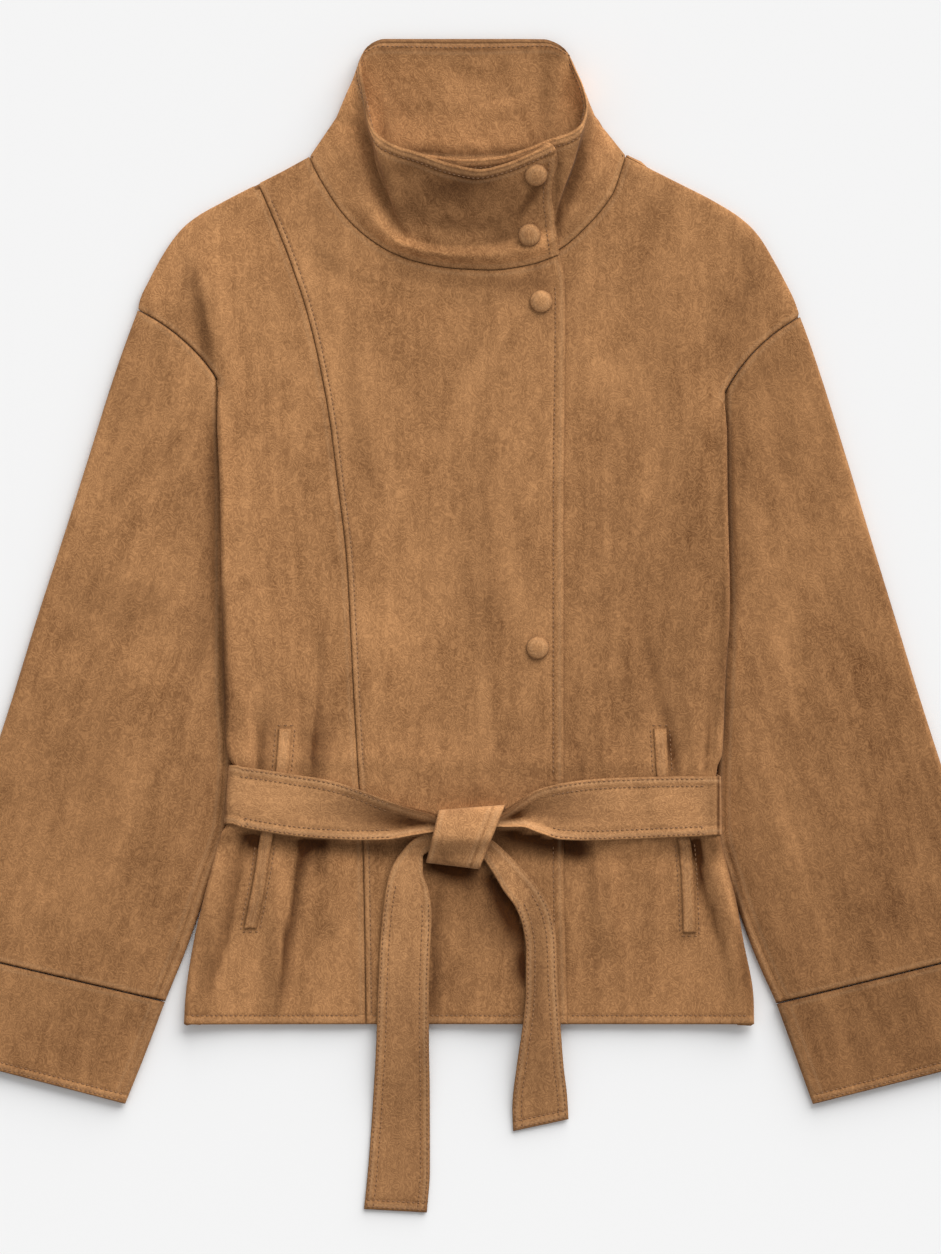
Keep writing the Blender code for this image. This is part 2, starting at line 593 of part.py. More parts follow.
BODY_LEVELS = (0.4, 20, 46, 72, 96, 118, 134, 146, 158, 178, 192, 204, 222, 250, 290, 335,
               380, 420, 446, 466)
SIDE_TURN = 155.0        # degrees that a side fold rolls round
UNDERARM_TURN = 55.0     # the same just under the arm, where the sleeve lies beneath it
ARMHOLE_SHARES = (0.97, 0.8, 0.6, 0.4, 0.2, 0.02)
RIGHT_ARM_LEVELS = (487.0, 500.0, 514.0, 529.0, 544.0, 559.0)
LEFT_ARM_LEVELS = (462.0, 470.0, 477.0, 484.0, 491.0, 499.0)


def build_right_side(material):
    """The side panel of the right front, from the side fold to the princess seam."""
    def seam(y):
        return along_seam(PRINCESS, y) - SEAM / 2
    rungs = body_rungs("right", seam, BODY_LEVELS)
    turns = [SIDE_TURN] * (len(rungs) - 1) + [UNDERARM_TURN]
    for share, level in zip(ARMHOLE_SHARES, RIGHT_ARM_LEVELS):
        rungs.append(Rung(*armhole_edge("right", share), seam(level), level, 0.0))
    rungs += [row._replace(inner_x=seam(row.inner_y)) for row in read_evenly(RIGHT_SHOULDER, 7)]
    turns += [0.0] * (len(rungs) - len(turns))
    rows = front_rows(rungs, turns, front_height, 8, "right")
    return loft("front_right_side", facing_up(rows), material, SUEDE)


def build_right_centre(material):
    """The right front from the princess seam to its lapped edge."""
    def seam(y):
        return along_seam(PRINCESS, y) + SEAM / 2
    rungs = [Rung(seam(y), y, along_seam(FRONT_EDGE, y), y, 0.0) for y in BODY_LEVELS]
    upper = [rungs[-1]] + RIGHT_NECK
    levels = list(RIGHT_ARM_LEVELS) + [row.inner_y for row in read_evenly(RIGHT_SHOULDER, 7)][:-1]
    rungs += [row._replace(outer_x=seam(row.outer_y))
              for row in read_table(upper, [row.outer_y for row in upper], levels)]
    rungs += RIGHT_NECK[-3:]
    rows = []
    for rung in rungs:
        places = [bowed(rung, j / 12) for j in range(13)]
        rows.append([(x, y, lapped_height(x, y)) for x, y in places])
    neck = neck_edge(0, FIRST_BACK_STATION - 1, 13)
    rows[-1] = [(x, y, lapped_height(x, y)) for x, y in neck]
    return loft("front_right_centre", facing_up(rows), material, SUEDE)


def build_left_front(material):
    """The left front, whose inner part lies hidden under the right one."""
    def hidden_edge(y):
        return along_seam(FRONT_EDGE, y) - LAP
    rungs = body_rungs("left", hidden_edge, BODY_LEVELS[:-1] + (458.0,))
    turns = [SIDE_TURN] * (len(rungs) - 1) + [UNDERARM_TURN]
    for share, level in zip(ARMHOLE_SHARES, LEFT_ARM_LEVELS):
        rungs.append(Rung(*armhole_edge("left", share), hidden_edge(level), level, 0.0))
    rungs += read_evenly(LEFT_SHOULDER, 9)
    turns += [0.0] * (len(rungs) - len(turns))
    columns = 11
    rows = front_rows(rungs, turns, front_height, columns, "left")
    neck = neck_edge(LAST_BACK_STATION + 1, HIDDEN_NECK_STATION, len(rows[0]))
    rows[-1] = [(x, y, front_height(x, y)) for x, y in neck]
    return loft("front_left", facing_up(rows), material, SUEDE)


def build_back(material):
    """The back panel, flat on the table but for the step over the belt."""
    rungs = []
    for y in BODY_LEVELS:
        right, left = side_fold("right", y)[0], side_fold("left", min(y, 456.0))[0]
        rungs.append(Rung(right + BACK_INSET, y, left - BACK_INSET, min(y, 456.0), 0.0))
    rungs.append(Rung(-182.6, 481.0, 187.4, 471.0, 0.0))
    for share in ARMHOLE_SHARES:
        rungs.append(Rung(*armhole_edge("right", share), *armhole_edge("left", share), 0.0))
    inset = 0.6
    for row in read_evenly(BACK_SHOULDER, 7):
        rungs.append(Rung(row.outer_x + inset, row.outer_y - inset,
                          row.inner_x - inset, row.inner_y - inset, row.bow))
    rows = []
    for rung in rungs:
        places = [bowed(rung, j / 10) for j in range(11)]
        rows.append([(x, y, back_height(x, y)) for x, y in places])
    return loft("back", facing_up(rows), material, SUEDE)


def flat_tube_ring(rung, thick, tuck):
    """A flattened tube's section over a rung: level below, rounded ends, a slight crown above.

    tuck is the share of its thickness that it loses at its inner end, under the body's fold.
    """
    run = math.hypot(rung.inner_x - rung.outer_x, rung.inner_y - rung.outer_y)
    half = thick / 2.0
    turns = [math.pi / 4 * k for k in range(3)]
    ends = [(half * (1.0 - math.sin(turn)) / run, math.cos(turn)) for turn in turns]
    level = ends[0][0]
    middle = [level + (1.0 - 2.0 * level) * j / 7.0 for j in range(1, 7)]
    upper = [(share, half + half * lift) for share, lift in reversed(ends)]
    upper += [(share, thick + 0.9 * math.sin(math.pi * share)) for share in middle]
    upper += [(1.0 - share, half + half * lift) for share, lift in ends]
    lower = [(1.0 - share, half - half * lift) for share, lift in (ends[1], ends[0])]
    lower += [(share, 0.0) for share in reversed(middle)]
    lower += [(share, half - half * lift) for share, lift in (ends[0], ends[1])]
    return [bowed(rung, share) + (z * (1.0 - tuck * smooth_step((share - 0.86) / 0.1)),)
            for share, z in upper + lower]


def facing_out(rings, side):
    """Rings turned so that the faces between them look out of the tube."""
    return rings if side == "right" else [list(reversed(ring)) for ring in rings]


def build_sleeve(side, material):
    """A sleeve: a flattened tube from the armhole to the cuff seam."""
    table = RIGHT_SLEEVE if side == "right" else LEFT_SLEEVE
    sign = -1.0 if side == "right" else 1.0
    rows = [armhole_rung(side)] + [row._replace(bow=sign * row.bow) for row in table]
    rings = [flat_tube_ring(rung, SLEEVE_THICK, SLEEVE_TUCK * min(1, i))
             for i, rung in enumerate(read_evenly(rows, 14))]
    return loft("sleeve_" + side, facing_out(rings, side), material, SUEDE, ring=True)


def build_cuff(side, material):
    """The deep cuff, a little fuller than the sleeve it is sewn to."""
    rings = [flat_tube_ring(rung, CUFF_THICK, 0.0) for rung in read_evenly(CUFF_ROWS[side], 4)]
    return loft("cuff_" + side, facing_out(rings, side), material, SUEDE, ring=True)


def neck_edge(first, last, count):
    """Places along the neck seam of a front, from one collar station to another."""
    stations = COLLAR[first:last + 1]
    points = np.array([(s.base_x, s.base_y) for s in stations])
    travel = np.concatenate([[0.0], np.cumsum(np.linalg.norm(np.diff(points, axis=0), axis=1))])
    where = np.linspace(0.0, travel[-1], count)
    xs, ys = (soft_curve(travel, points[:, i], where) for i in range(2))
    away = np.stack([xs, ys - NECK_MIDDLE_Y], axis=1)
    away /= np.linalg.norm(away, axis=1)[:, None]
    places = np.stack([xs, ys], axis=1) + away * NECK_SEAM
    return [tuple(place) for place in (places[::-1] if first == 0 else places)]


def collar_base_height(index, x, y):
    """Height of the collar's outer face at its seam, by where the station lies."""
    if FIRST_BACK_STATION <= index <= LAST_BACK_STATION:
        return 0.0
    if index in (FIRST_BACK_STATION - 1, LAST_BACK_STATION + 1):
        return 2 * SUEDE + SEAM
    if index < FIRST_BACK_STATION:
        return lapped_height(x, y)
    return front_height(x, y)


def collar_rows(count, levels):
    """The collar as rows of points from base to rim, one row for each level of its height."""
    base_z = [collar_base_height(i, s.base_x, s.base_y) for i, s in enumerate(COLLAR)]
    rims = np.array([(s.rim_x, s.rim_y) for s in COLLAR])
    bends = np.array([(s.bend_x, s.bend_y) for s in COLLAR])
    steps = 0.5 * (np.linalg.norm(np.diff(rims, axis=0), axis=1)
                   + np.linalg.norm(np.diff(bends, axis=0), axis=1))
    travel = np.concatenate([[0.0], np.cumsum(steps)])
    where = np.linspace(0.0, travel[-1], count)
    read = {name: soft_curve(travel, [getattr(s, name) for s in COLLAR], where)
            for name in Station._fields}
    base_z = soft_curve(travel, base_z, where)
    rows = []
    for level in levels:
        row = []
        for i in range(count):
            base = np.array((read["base_x"][i], read["base_y"][i], base_z[i]))
            bend = np.array((read["bend_x"][i], read["bend_y"][i], read["bend_z"][i]))
            rim = np.array((read["rim_x"][i], read["rim_y"][i], read["rim_z"][i]))
            if level <= 1.0:
                point = base + (bend - base) * level
                point[2] = base[2] + (bend[2] - base[2]) * smooth_step(level)
                point[2] += read["roll"][i] * math.sin(math.pi * level) ** 2
            else:
                share = level - 1.0
                point = bend + (rim - bend) * share
                away = point[:2] - np.array((0.0, NECK_MIDDLE_Y))
                swell = read["belly"][i] * math.sin(math.pi * share)
                point[:2] += away / max(np.linalg.norm(away), 1.0) * swell
            row.append(tuple(point))
        rows.append(row)
    return rows


def build_collar(material):
    """The funnel collar: one strip round the neck whose ends lap at the front."""
    rows = collar_rows(58, (0.0, 0.1, 0.4, 0.7, 1.0, 1.25, 1.5, 1.75, 2.0))
    return loft("collar", rows, material, COLLAR_SUEDE)


def build_welt(side, shapes, material):
    """A narrow welt that lies on the front along its pocket's mouth."""
    points = WELTS[side]
    rows = []
    for y in np.linspace(points[-1].y, points[0].y, 15):
        middle = along_seam(points, y)
        row = []
        for off in (-WELT_WIDTH / 2, 0.0, WELT_WIDTH / 2):
            x = middle + off
            row.append((x, y, height_over(shapes, x, y, 5.0) + LYING + WELT_THICK))
        rows.append(row)
    return loft("pocket_welt_" + side, facing_up(rows), material, WELT_THICK)


def build_belt_front(side, shapes, material):
    """The belt from the back, round the side fold and across the front into the knot."""
    rows = read_evenly(BELT_FRONT[side], 14)
    sign = -1.0 if side == "right" else 1.0
    low, high = BELT_END[side]
    columns = 6
    radius = SIDE_ROLL + LYING + BELT_SUEDE + 0.6
    lying = LYING + BELT_SUEDE
    strip = []
    for row in rows:
        line = []
        for j in range(columns + 1):
            share = j / columns
            y = row.bottom_y + (row.top_y - row.bottom_y) * share
            edge = (2.0 * share - 1.0) ** 2
            z = height_over(shapes, row.outer_x, y, 11.0) + lying + row.lift + row.cup * (edge - 0.3)
            line.append((row.outer_x, y, z))
        strip.append(line)
    wrap = []
    for j in range(columns + 1):
        share = j / columns
        y = low.y + (high.y - low.y) * share
        end_x = low.x + (high.x - low.x) * share
        top_z = height_over(shapes, end_x - sign * radius, y, 2.0) + lying
        profile = [(-radius, top_z)] + rolled_edge(top_z, radius, 150.0, BELT_TURN_IN, 6)
        wrap.append([(end_x + sign * out, y, z) for out, z in profile])
    wrapped = [[wrap[j][i] for j in range(columns + 1)] for i in range(len(wrap[0]))]
    lines = list(reversed(wrapped)) + strip
    if side == "left":
        lines = [list(reversed(line)) for line in lines]
    return loft("belt_front_" + side, lines, material, BELT_SUEDE)


def build_belt_back(material):
    """The belt's strip between the back panel and the table."""
    low_right, high_right = BELT_END["right"]
    low_left, high_left = BELT_END["left"]
    start = -BELT_TURN_IN[-1][0] + SEAM
    rows = []
    for share in (0.0, 0.5, 1.0):
        right_x = low_right.x + (high_right.x - low_right.x) * share + start
        right_y = low_right.y + (high_right.y - low_right.y) * share
        left_x = low_left.x + (high_left.x - low_left.x) * share - start
        left_y = low_left.y + (high_left.y - low_left.y) * share
        rows.append([(right_x + (left_x - right_x) * t, right_y + (left_y - right_y) * t, BELT_SUEDE)
                     for t in np.linspace(0.0, 1.0, 9)])
    return loft("belt_back", facing_up(rows), material, BELT_SUEDE)


def build_knot(shapes, material):
    """The wrap of the knot: a band that arches over the crossing from top to bottom."""
    rows = []
    count = 16
    for i in range(count + 1):
        angle = math.pi * i / count
        share = (1.0 + math.cos(angle)) / 2.0
        row = []
        for j in range(7):
            across = j / 6.0
            top = [a + (b - a) * across for a, b in zip(*KNOT_TOP)]
            bottom = [a + (b - a) * across for a, b in zip(*KNOT_BOTTOM)]
            x = top[0] + (bottom[0] - top[0]) * share
            y = top[1] + (bottom[1] - top[1]) * share
            edge = (2.0 * across - 1.0) ** 4
            foot = height_over(shapes, x, y, 3.0) + LYING
            row.append((x, y, foot + (KNOT_HEIGHT - 1.6 * edge) * math.sin(angle) ** 0.62))
        rows.append(row)
    return loft("belt_knot", facing_up(rows), material, BELT_SUEDE)


def build_tail(side, shapes, material):
    """A hanging end of the belt, from inside the knot over the hem to the table."""
    lines = []
    for row in read_evenly(TAILS[side], 24):
        line = []
        for j in range(5):
            share = j / 4.0
            x = row.near_x + (row.far_x - row.near_x) * share
            y = row.near_y + (row.far_y - row.near_y) * share
            rest = drop_past_hem(shapes, x, y, 3.0)
            above = LYING * min(1.0, rest / 3.0)
            line.append((x, y, rest + above + row.clear + BELT_SUEDE))
        lines.append(line)
    return loft("belt_tail_" + side, facing_up(lines), material, BELT_SUEDE)


def build_button(name, place, normal, material):
    """A cloth-covered snap button: a shallow dome turned about its middle."""
    profile = [(0.0, 1.0), (0.34, 0.95), (0.66, 0.76), (0.88, 0.48), (1.0, 0.2), (0.96, 0.0), (0.0, 0.0)]
    mesh = bpy.data.meshes.new(name)
    points = [(r * BUTTON_RADIUS * MM, 0.0, z * BUTTON_HEIGHT * MM) for r, z in profile]
    mesh.from_pydata(points, [(i, i + 1) for i in range(len(points) - 1)], [])
    mesh.materials.append(material)
    button = bpy.data.objects.new(name, mesh)
    COLLECTION.objects.link(button)
    turn = button.modifiers.new("turn", "SCREW")
    turn.angle = math.tau
    turn.steps = turn.render_steps = 20
    turn.use_merge_vertices = True
    turn.merge_threshold = 0.0001
    button.rotation_mode = "QUATERNION"
    button.rotation_quaternion = Vector((0.0, 0.0, 1.0)).rotation_difference(Vector(normal))
    button.location = place
    return button


def build_buttons(shapes, material):
    """Each button sits square on the cloth below it, just clear of its highest point."""
    for i, (x, y) in enumerate(COLLAR_BUTTONS + FRONT_BUTTONS):
        hits = []
        for k in range(9):
            reach = 0.0 if k == 8 else BUTTON_RADIUS
            turn = math.tau * k / 8
            above = Vector(world((x + reach * math.cos(turn), y + reach * math.sin(turn), 200.0)))
            found = [shape.ray_cast(above, Vector((0.0, 0.0, -1.0)))[0] for shape in shapes]
            hits.append(max((hit for hit in found if hit is not None), key=lambda hit: hit.z))
        middle = sum(hits, Vector()) / len(hits)
        normal = sum(((hits[k] - middle).cross(hits[(k + 1) % 8] - middle) for k in range(8)), Vector())
        normal.normalize()
        clear = max((hit - middle).dot(normal) for hit in hits) + BUTTON_CLEAR * MM
        build_button(f"button_{i + 1}", middle + normal * clear, normal, material)


def build_jacket():
    suede = make_material("suede", SUEDE_COLOUR, 0.9)
    belt_suede = make_material("belt_suede", BELT_COLOUR, 0.88)
    button_suede = make_material("button_suede", BUTTON_COLOUR, 0.85)
    build_back(suede)
    fronts = [build_right_side(suede), build_right_centre(suede), build_left_front(suede)]
    collar = build_collar(suede)
    for side in ("right", "left"):
        build_sleeve(side, suede)
        build_cuff(side, suede)
    on_fronts = shapes_of(fronts)
    welts = [build_welt(side, on_fronts, suede) for side in ("right", "left")]
    under_belt = shapes_of(fronts + welts)
    for side in ("right", "left"):
        build_belt_front(side, under_belt, belt_suede)
        build_tail(side, on_fronts, belt_suede)
    build_belt_back(belt_suede)
    build_knot(on_fronts, belt_suede)
    build_buttons(shapes_of(fronts + [collar]), button_suede)


clear_scene()
COLLECTION = make_collection("suede_jacket")
build_jacket()
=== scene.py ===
# %% [markdown]
# # A suede jacket, laid flat on its back
#
# The jacket is cut from suede: one back, a left front, a right front in two panels, two
# sleeves with deep cuffs, a funnel collar, two pocket welts and a tie belt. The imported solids
# already hold each piece's place and size. Here every piece is made again as a thin skin with
# closer points, so that it can carry seams, creases and stitches, and then it gets its suede.

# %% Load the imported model
import sys
import math
from collections import namedtuple

import bpy
import numpy as np
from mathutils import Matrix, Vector
from mathutils.bvhtree import BVHTree

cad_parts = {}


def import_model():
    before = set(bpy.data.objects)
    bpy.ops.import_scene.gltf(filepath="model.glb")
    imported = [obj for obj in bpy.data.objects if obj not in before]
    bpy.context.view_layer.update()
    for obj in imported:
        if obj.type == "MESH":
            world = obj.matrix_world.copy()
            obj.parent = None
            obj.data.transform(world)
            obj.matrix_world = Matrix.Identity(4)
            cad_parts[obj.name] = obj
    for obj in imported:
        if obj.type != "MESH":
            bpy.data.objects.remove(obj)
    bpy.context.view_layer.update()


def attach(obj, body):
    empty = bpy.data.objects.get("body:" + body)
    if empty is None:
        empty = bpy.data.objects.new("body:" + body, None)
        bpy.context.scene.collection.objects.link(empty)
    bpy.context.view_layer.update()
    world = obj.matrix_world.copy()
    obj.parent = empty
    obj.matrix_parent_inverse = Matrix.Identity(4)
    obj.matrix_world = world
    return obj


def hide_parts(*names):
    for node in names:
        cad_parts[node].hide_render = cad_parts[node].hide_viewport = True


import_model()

# %% [markdown]
# ## The cutting table
#
# A pattern cutter thinks in millimetres on a table, so all sizes here are millimetres: x runs
# across from the centre line towards the wearer's left, y runs up from the hem, and z is the
# height above the table. One function turns them into Blender's metres.

# %% Millimetres on the table
MM = 0.001
MIDDLE_Y = 299            # halfway between the collar's top and the longer belt end


def world(points):
    """Points in millimetres on the table, as metres in the shared frame."""
    return (np.asarray(points, float) - (0, MIDDLE_Y, 0)) * MM


print("table origin lies", MIDDLE_Y, "mm above the hem")

# %% [markdown]
# ## Camera, light and floor
#
# The jacket is seen straight from above. A long lens far away keeps the tall collar from
# growing towards the camera. The light comes from beyond the collar, a little to the right, and
# it is as wide as a large softbox seen from the table, so that folds throw soft shadows towards
# the hem. A pale sky fills the rest, and the floor stays even from corner to corner.

# %% Camera
FRAME_HIGH = 940.5                # how much of the table shows, from top to bottom, mm
FRAME_MIDDLE = (1.9, 298.1)       # the middle of what shows, mm
CAMERA_HEIGHT = 10000
FAR_CLIP = 40                     # metres
SENSOR = 36

camera_data = bpy.data.cameras.new("camera")
camera_data.sensor_width = SENSOR
camera_data.lens = SENSOR * CAMERA_HEIGHT / FRAME_HIGH
camera_data.clip_end = FAR_CLIP
camera = bpy.data.objects.new("camera", camera_data)
camera.location = world((*FRAME_MIDDLE, CAMERA_HEIGHT))
bpy.context.scene.collection.objects.link(camera)
bpy.context.scene.camera = camera
print("lens", round(camera_data.lens), "mm")

# %% Soft studio light
LIGHT_FROM = (0.45, 1, 0.43)         # which way the softbox stands from the jacket
SOFTBOX_ANGLE = math.radians(66)     # how wide it looks from the table
SOFTBOX_STRENGTH, SKY_STRENGTH = 4.72, 0.5

softbox_data = bpy.data.lights.new("softbox", "SUN")
softbox_data.energy = SOFTBOX_STRENGTH
softbox_data.angle = SOFTBOX_ANGLE
softbox = bpy.data.objects.new("softbox", softbox_data)
softbox.rotation_euler = Vector(LIGHT_FROM).to_track_quat("Z", "Y").to_euler()
bpy.context.scene.collection.objects.link(softbox)
sky = bpy.data.worlds.new("studio")
sky.use_nodes = True
sky.node_tree.nodes["Background"].inputs["Color"].default_value = (1, 1, 1, 1)
sky.node_tree.nodes["Background"].inputs["Strength"].default_value = SKY_STRENGTH
bpy.context.scene.world = sky
bpy.context.scene.view_settings.view_transform = "Standard"
print("softbox stands", round(math.degrees(math.asin(Vector(LIGHT_FROM).normalized().z))), "degrees up")

# %% Pale floor
FLOOR_REACH = 6        # metres from its middle to each edge
FLOOR_DROP = 0.0004      # metres that it lies below the lowest suede, so that no two faces coincide
FLOOR_GREYS = (0.85, 0.86)

floor_mesh = bpy.data.meshes.new("floor")
floor_corners = [(x * FLOOR_REACH, y * FLOOR_REACH, 0) for x, y in ((-1, -1), (1, -1), (1, 1), (-1, 1))]
floor_mesh.from_pydata(floor_corners, [], [(0, 1, 2, 3)])
floor = bpy.data.objects.new("floor", floor_mesh)
floor.location.z = -FLOOR_DROP
bpy.context.scene.collection.objects.link(floor)
floor_paint = bpy.data.materials.new("floor_paint")
floor_paint.use_nodes = True
floor_nodes, floor_links = floor_paint.node_tree.nodes, floor_paint.node_tree.links
floor_grain = floor_nodes.new("ShaderNodeTexNoise")
floor_grain.inputs["Scale"].default_value = 3
floor_tones = floor_nodes.new("ShaderNodeValToRGB")
for stop, grey in zip(floor_tones.color_ramp.elements, FLOOR_GREYS):
    stop.color = (grey, grey, grey, 1)
floor_links.new(floor_grain.outputs["Fac"], floor_tones.inputs["Fac"])
floor_links.new(floor_tones.outputs["Color"], floor_nodes["Principled BSDF"].inputs["Base Color"])
floor_nodes["Principled BSDF"].inputs["Roughness"].default_value = 0.9
floor_mesh.materials.append(floor_paint)
print("floor is", floor.dimensions.x, "m wide")

# %% [markdown]
# ## Reading curves
#
# A pattern is a list of a few measured points with a smooth curve through them. A ruler laid
# from point to point would leave corners, and an ordinary spline swings out past its points.
# This one never passes the points it is given, which is how a tailor's curve behaves.

# %% Curve and blend helpers
def smooth_step(value):
    """0 below 0, 1 above 1, and an even S between them."""
    clipped = np.clip(value, 0, 1)
    return clipped * clipped * (3 - 2 * clipped)


def hump(value):
    """A rounded bump: 1 at 0, falling to 0 at 1 and at -1."""
    return np.clip(1 - np.asarray(value) ** 2, 0, 1) ** 2


def soft_curve(knots, values, where):
    """Reads a curve through values at knots, never swinging past them, at each of where."""
    knots, values = np.asarray(knots, float), np.asarray(values, float)
    where = np.clip(np.asarray(where, float), knots[0], knots[-1])
    widths = np.diff(knots)
    slopes = np.diff(values) / widths
    tangents = np.zeros(len(knots))
    tangents[0], tangents[-1] = slopes[0], slopes[-1]
    for i in range(1, len(knots) - 1):
        if slopes[i - 1] * slopes[i] > 0:
            before = 2 * widths[i] + widths[i - 1]
            after = widths[i] + 2 * widths[i - 1]
            tangents[i] = (before + after) / (before / slopes[i - 1] + after / slopes[i])
    spans = np.clip(np.searchsorted(knots, where, side="right") - 1, 0, len(widths) - 1)
    t, h = (where - knots[spans]) / widths[spans], widths[spans]
    return ((1 + 2 * t) * (1 - t) ** 2 * values[spans] + t * (1 - t) ** 2 * h * tangents[spans]
            + t * t * (3 - 2 * t) * values[spans + 1] + t * t * (t - 1) * h * tangents[spans + 1])


def travelled(points):
    """Distance walked along a line of points, from 0."""
    steps = np.linalg.norm(np.diff(np.asarray(points, float), axis=0), axis=1)
    return np.concatenate([[0], np.cumsum(steps)])


def distance_to(line, x, y):
    """Distance on the table from each place to a line of points."""
    nearest = np.full(np.shape(x), 1e9)
    for (x0, y0), (x1, y1) in zip(line, line[1:]):
        run_x, run_y = x1 - x0, y1 - y0
        share = ((x - x0) * run_x + (y - y0) * run_y) / (run_x * run_x + run_y * run_y)
        share = np.clip(share, 0, 1)
        nearest = np.minimum(nearest, np.hypot(x - x0 - run_x * share, y - y0 - run_y * share))
    return nearest


print("halfway up a soft curve:", soft_curve([0, 1, 2], [0, 1, 4], 1.5).round(3))

# %% [markdown]
# ## The pattern
#
# These tables are the jacket's pattern as it lies: the fold down each side of the body, the
# seams of the right front, the armholes, and the rungs that cross each panel from its outer
# edge to its inner one.

# %% Sizes of the cloth and the lay
SUEDE, COLLAR_SUEDE, BELT_SUEDE = 2, 2.4, 2.6      # thickness; the belt is double
SEAM, NECK_SEAM = 0.35, 0.3       # gap between two sewn pieces
LYING = 0.35                      # gap under a piece that lies on another
HEM_Y = 0.4
FRONT_REST = 6                  # outer face of a front above the table
LAP, LAP_STEP = 40, 2.4         # how far one front reaches under the other, and the step over it
SIDE_ROLL, SIDE_TURN = 3.4, 155           # radius of a side fold, and how far round it goes
SHOULDER_ROUND = 9
BACK_INSET = 8                  # how far the back stops short of a side fold
SLEEVE_THICK, CUFF_THICK = 7.6, 8.4
SLEEVE_TUCK = 0.32                # how much thinner a sleeve is where it goes in under the body
BELT_WIDTH = 44
BELT_LIFT = BELT_SUEDE + 0.4      # what the belt behind the back adds to the height above it
BELT_MIDDLE_Y, BELT_FALL = 168.4, 0.0217    # its middle on the centre line, and its fall per mm of x
KNOT_HEIGHT = 17
BUTTON_RADIUS, BUTTON_HEIGHT, BUTTON_CLEAR = 8.6, 4.2, 0.45
WELT_WIDTH, WELT_THICK = 9.6, 1.6
# how far each row of stitches runs from its edge
HEM_ROW, PRINCESS_ROW, LAP_ROW, WELT_ROW = 6.6, 4.4, 8, 2.4
CUFF_STITCHES, COLLAR_END_ROW = (2.2, 6.8), 7.5
print("a panel is", SUEDE, "mm thick, and the belt", BELT_SUEDE)

# %% Body tables
# y, then x and lift of the fold: right side, left side, lift
SIDE_FOLDS = [
    (0, -213, 214.5, 4), (18, -212, 214.2, 4), (63, -205.5, 206.5, 4.2),
    (95, -198, 200.5, 4.6), (122, -191, 193.5, 4.6), (138, -186.8, 189.8, 4.2),
    (145, -184.2, 188.6, 4.1), (151, -180.2, 186, 4), (172, -177, 185.2, 4),
    (194, -175.8, 187, 4.4), (201, -180, 190.2, 5.2), (212, -181.6, 191.2, 6),
    (250, -182.8, 192.6, 7.4), (318, -184.5, 196.3, 8),
    (400, -186, 194.6, 8), (446, -188, 194.2, 6.6), (470, -189.4, 194.6, 4),
    (492, -191, 195.2, 2.2), (520, -194, 197.4, 1.8), (560, -200, 201, 1.6),
    (660, -205, 205, 1.2),
]
# y, x of the seam that joins the two panels of the right front
PRINCESS = [(0, -76.5), (135, -78.8), (180, -81.8), (243, -85.5), (300, -88.3), (348, -91),
            (408, -98), (451, -103.4), (486, -109.5), (529, -119.4), (568, -131.8),
            (610, -148.5), (629, -156.8)]
# y, x of the free edge of the right front, which laps over the left one
FRONT_EDGE = [(0, 75), (60, 73.2), (122, 72), (393, 72), (500, 73.3), (548, 73.5),
              (565, 72), (577, 69)]
# shoulder point, underarm point, and the bow of the seam between them
ARMHOLE = {"right": (-247.5, 535.5, -186.8, 481.9, -5.6),
           "left": (249, 530.5, 191.6, 471.8, 6.2)}
# rungs: outer x and y, inner x and y, bow
RIGHT_SHOULDER = [(-246, 543.4, -133, 571.5, 0), (-231, 573.4, -139, 587, 0),
                  (-208.5, 602.5, -146.2, 604.5, 0), (-182, 618.4, -151.6, 617.2, 0),
                  (-162, 628.6, -155.6, 626.4, 0)]
RIGHT_NECK = [(-117.4, 520, 73.4, 497, 5), (-131.1, 566, 73.5, 525, 15),
              (-145.7, 603, 73.5, 546, 27), (-156.5, 629, 73, 558, 37),
              (-139, 639.6, 71.5, 567, 40.5), (-118.5, 650, 69, 576.6, 43)]
LEFT_SHOULDER = [(245, 543.4, 33, 508, 0), (229, 573.4, 33, 522, 0),
                 (206.5, 602.6, 33, 534, 0), (181, 619.4, 33, 545, -3),
                 (150, 634.8, 33, 556, -9.5), (118, 650.8, 33, 566.6, -17.5)]
BACK_SHOULDER = [(*right[:2], *left[:2], 0) for right, left in zip(RIGHT_SHOULDER[:4], LEFT_SHOULDER)]
BACK_SHOULDER += [(-153, 633.6, 151.5, 634.2, -3), (-118.5, 650, 118, 650.8, -7.6)]
SHOULDER_EDGE = {  # y, x of the shoulder's outline, from the armhole to the neck
    "right": [(535.5, -247.5), (543, -246), (558, -239), (574, -230.5), (590, -220),
              (598, -213), (606, -202.8), (618, -181.3), (630, -158), (650, -118.5)],
    "left": [(530.5, 249), (543, 244.6), (558, 237.2), (574, 228.6), (590, 218.8),
             (598, 212), (606, 202.5), (618, 183), (630, 159.5), (650.8, 118)],
}
print(len(SIDE_FOLDS), "points down each side fold")

# %% Reading the pattern
def along_seam(seam, y):
    """x of a seam at each of y."""
    points = np.array(sorted(seam), float)
    return soft_curve(points[:, 0], points[:, 1], y)


def side_fold(side, y):
    """(x, lift) of the fold down one side of the body."""
    table = np.array(SIDE_FOLDS, float)
    column = 1 if side == "right" else 2
    return soft_curve(table[:, 0], table[:, column], y), soft_curve(table[:, 0], table[:, 3], y)


PRINCESS_TOP_Y, NECK_CORNER_Y = 630, 651     # where that seam and the neck meet the shoulder


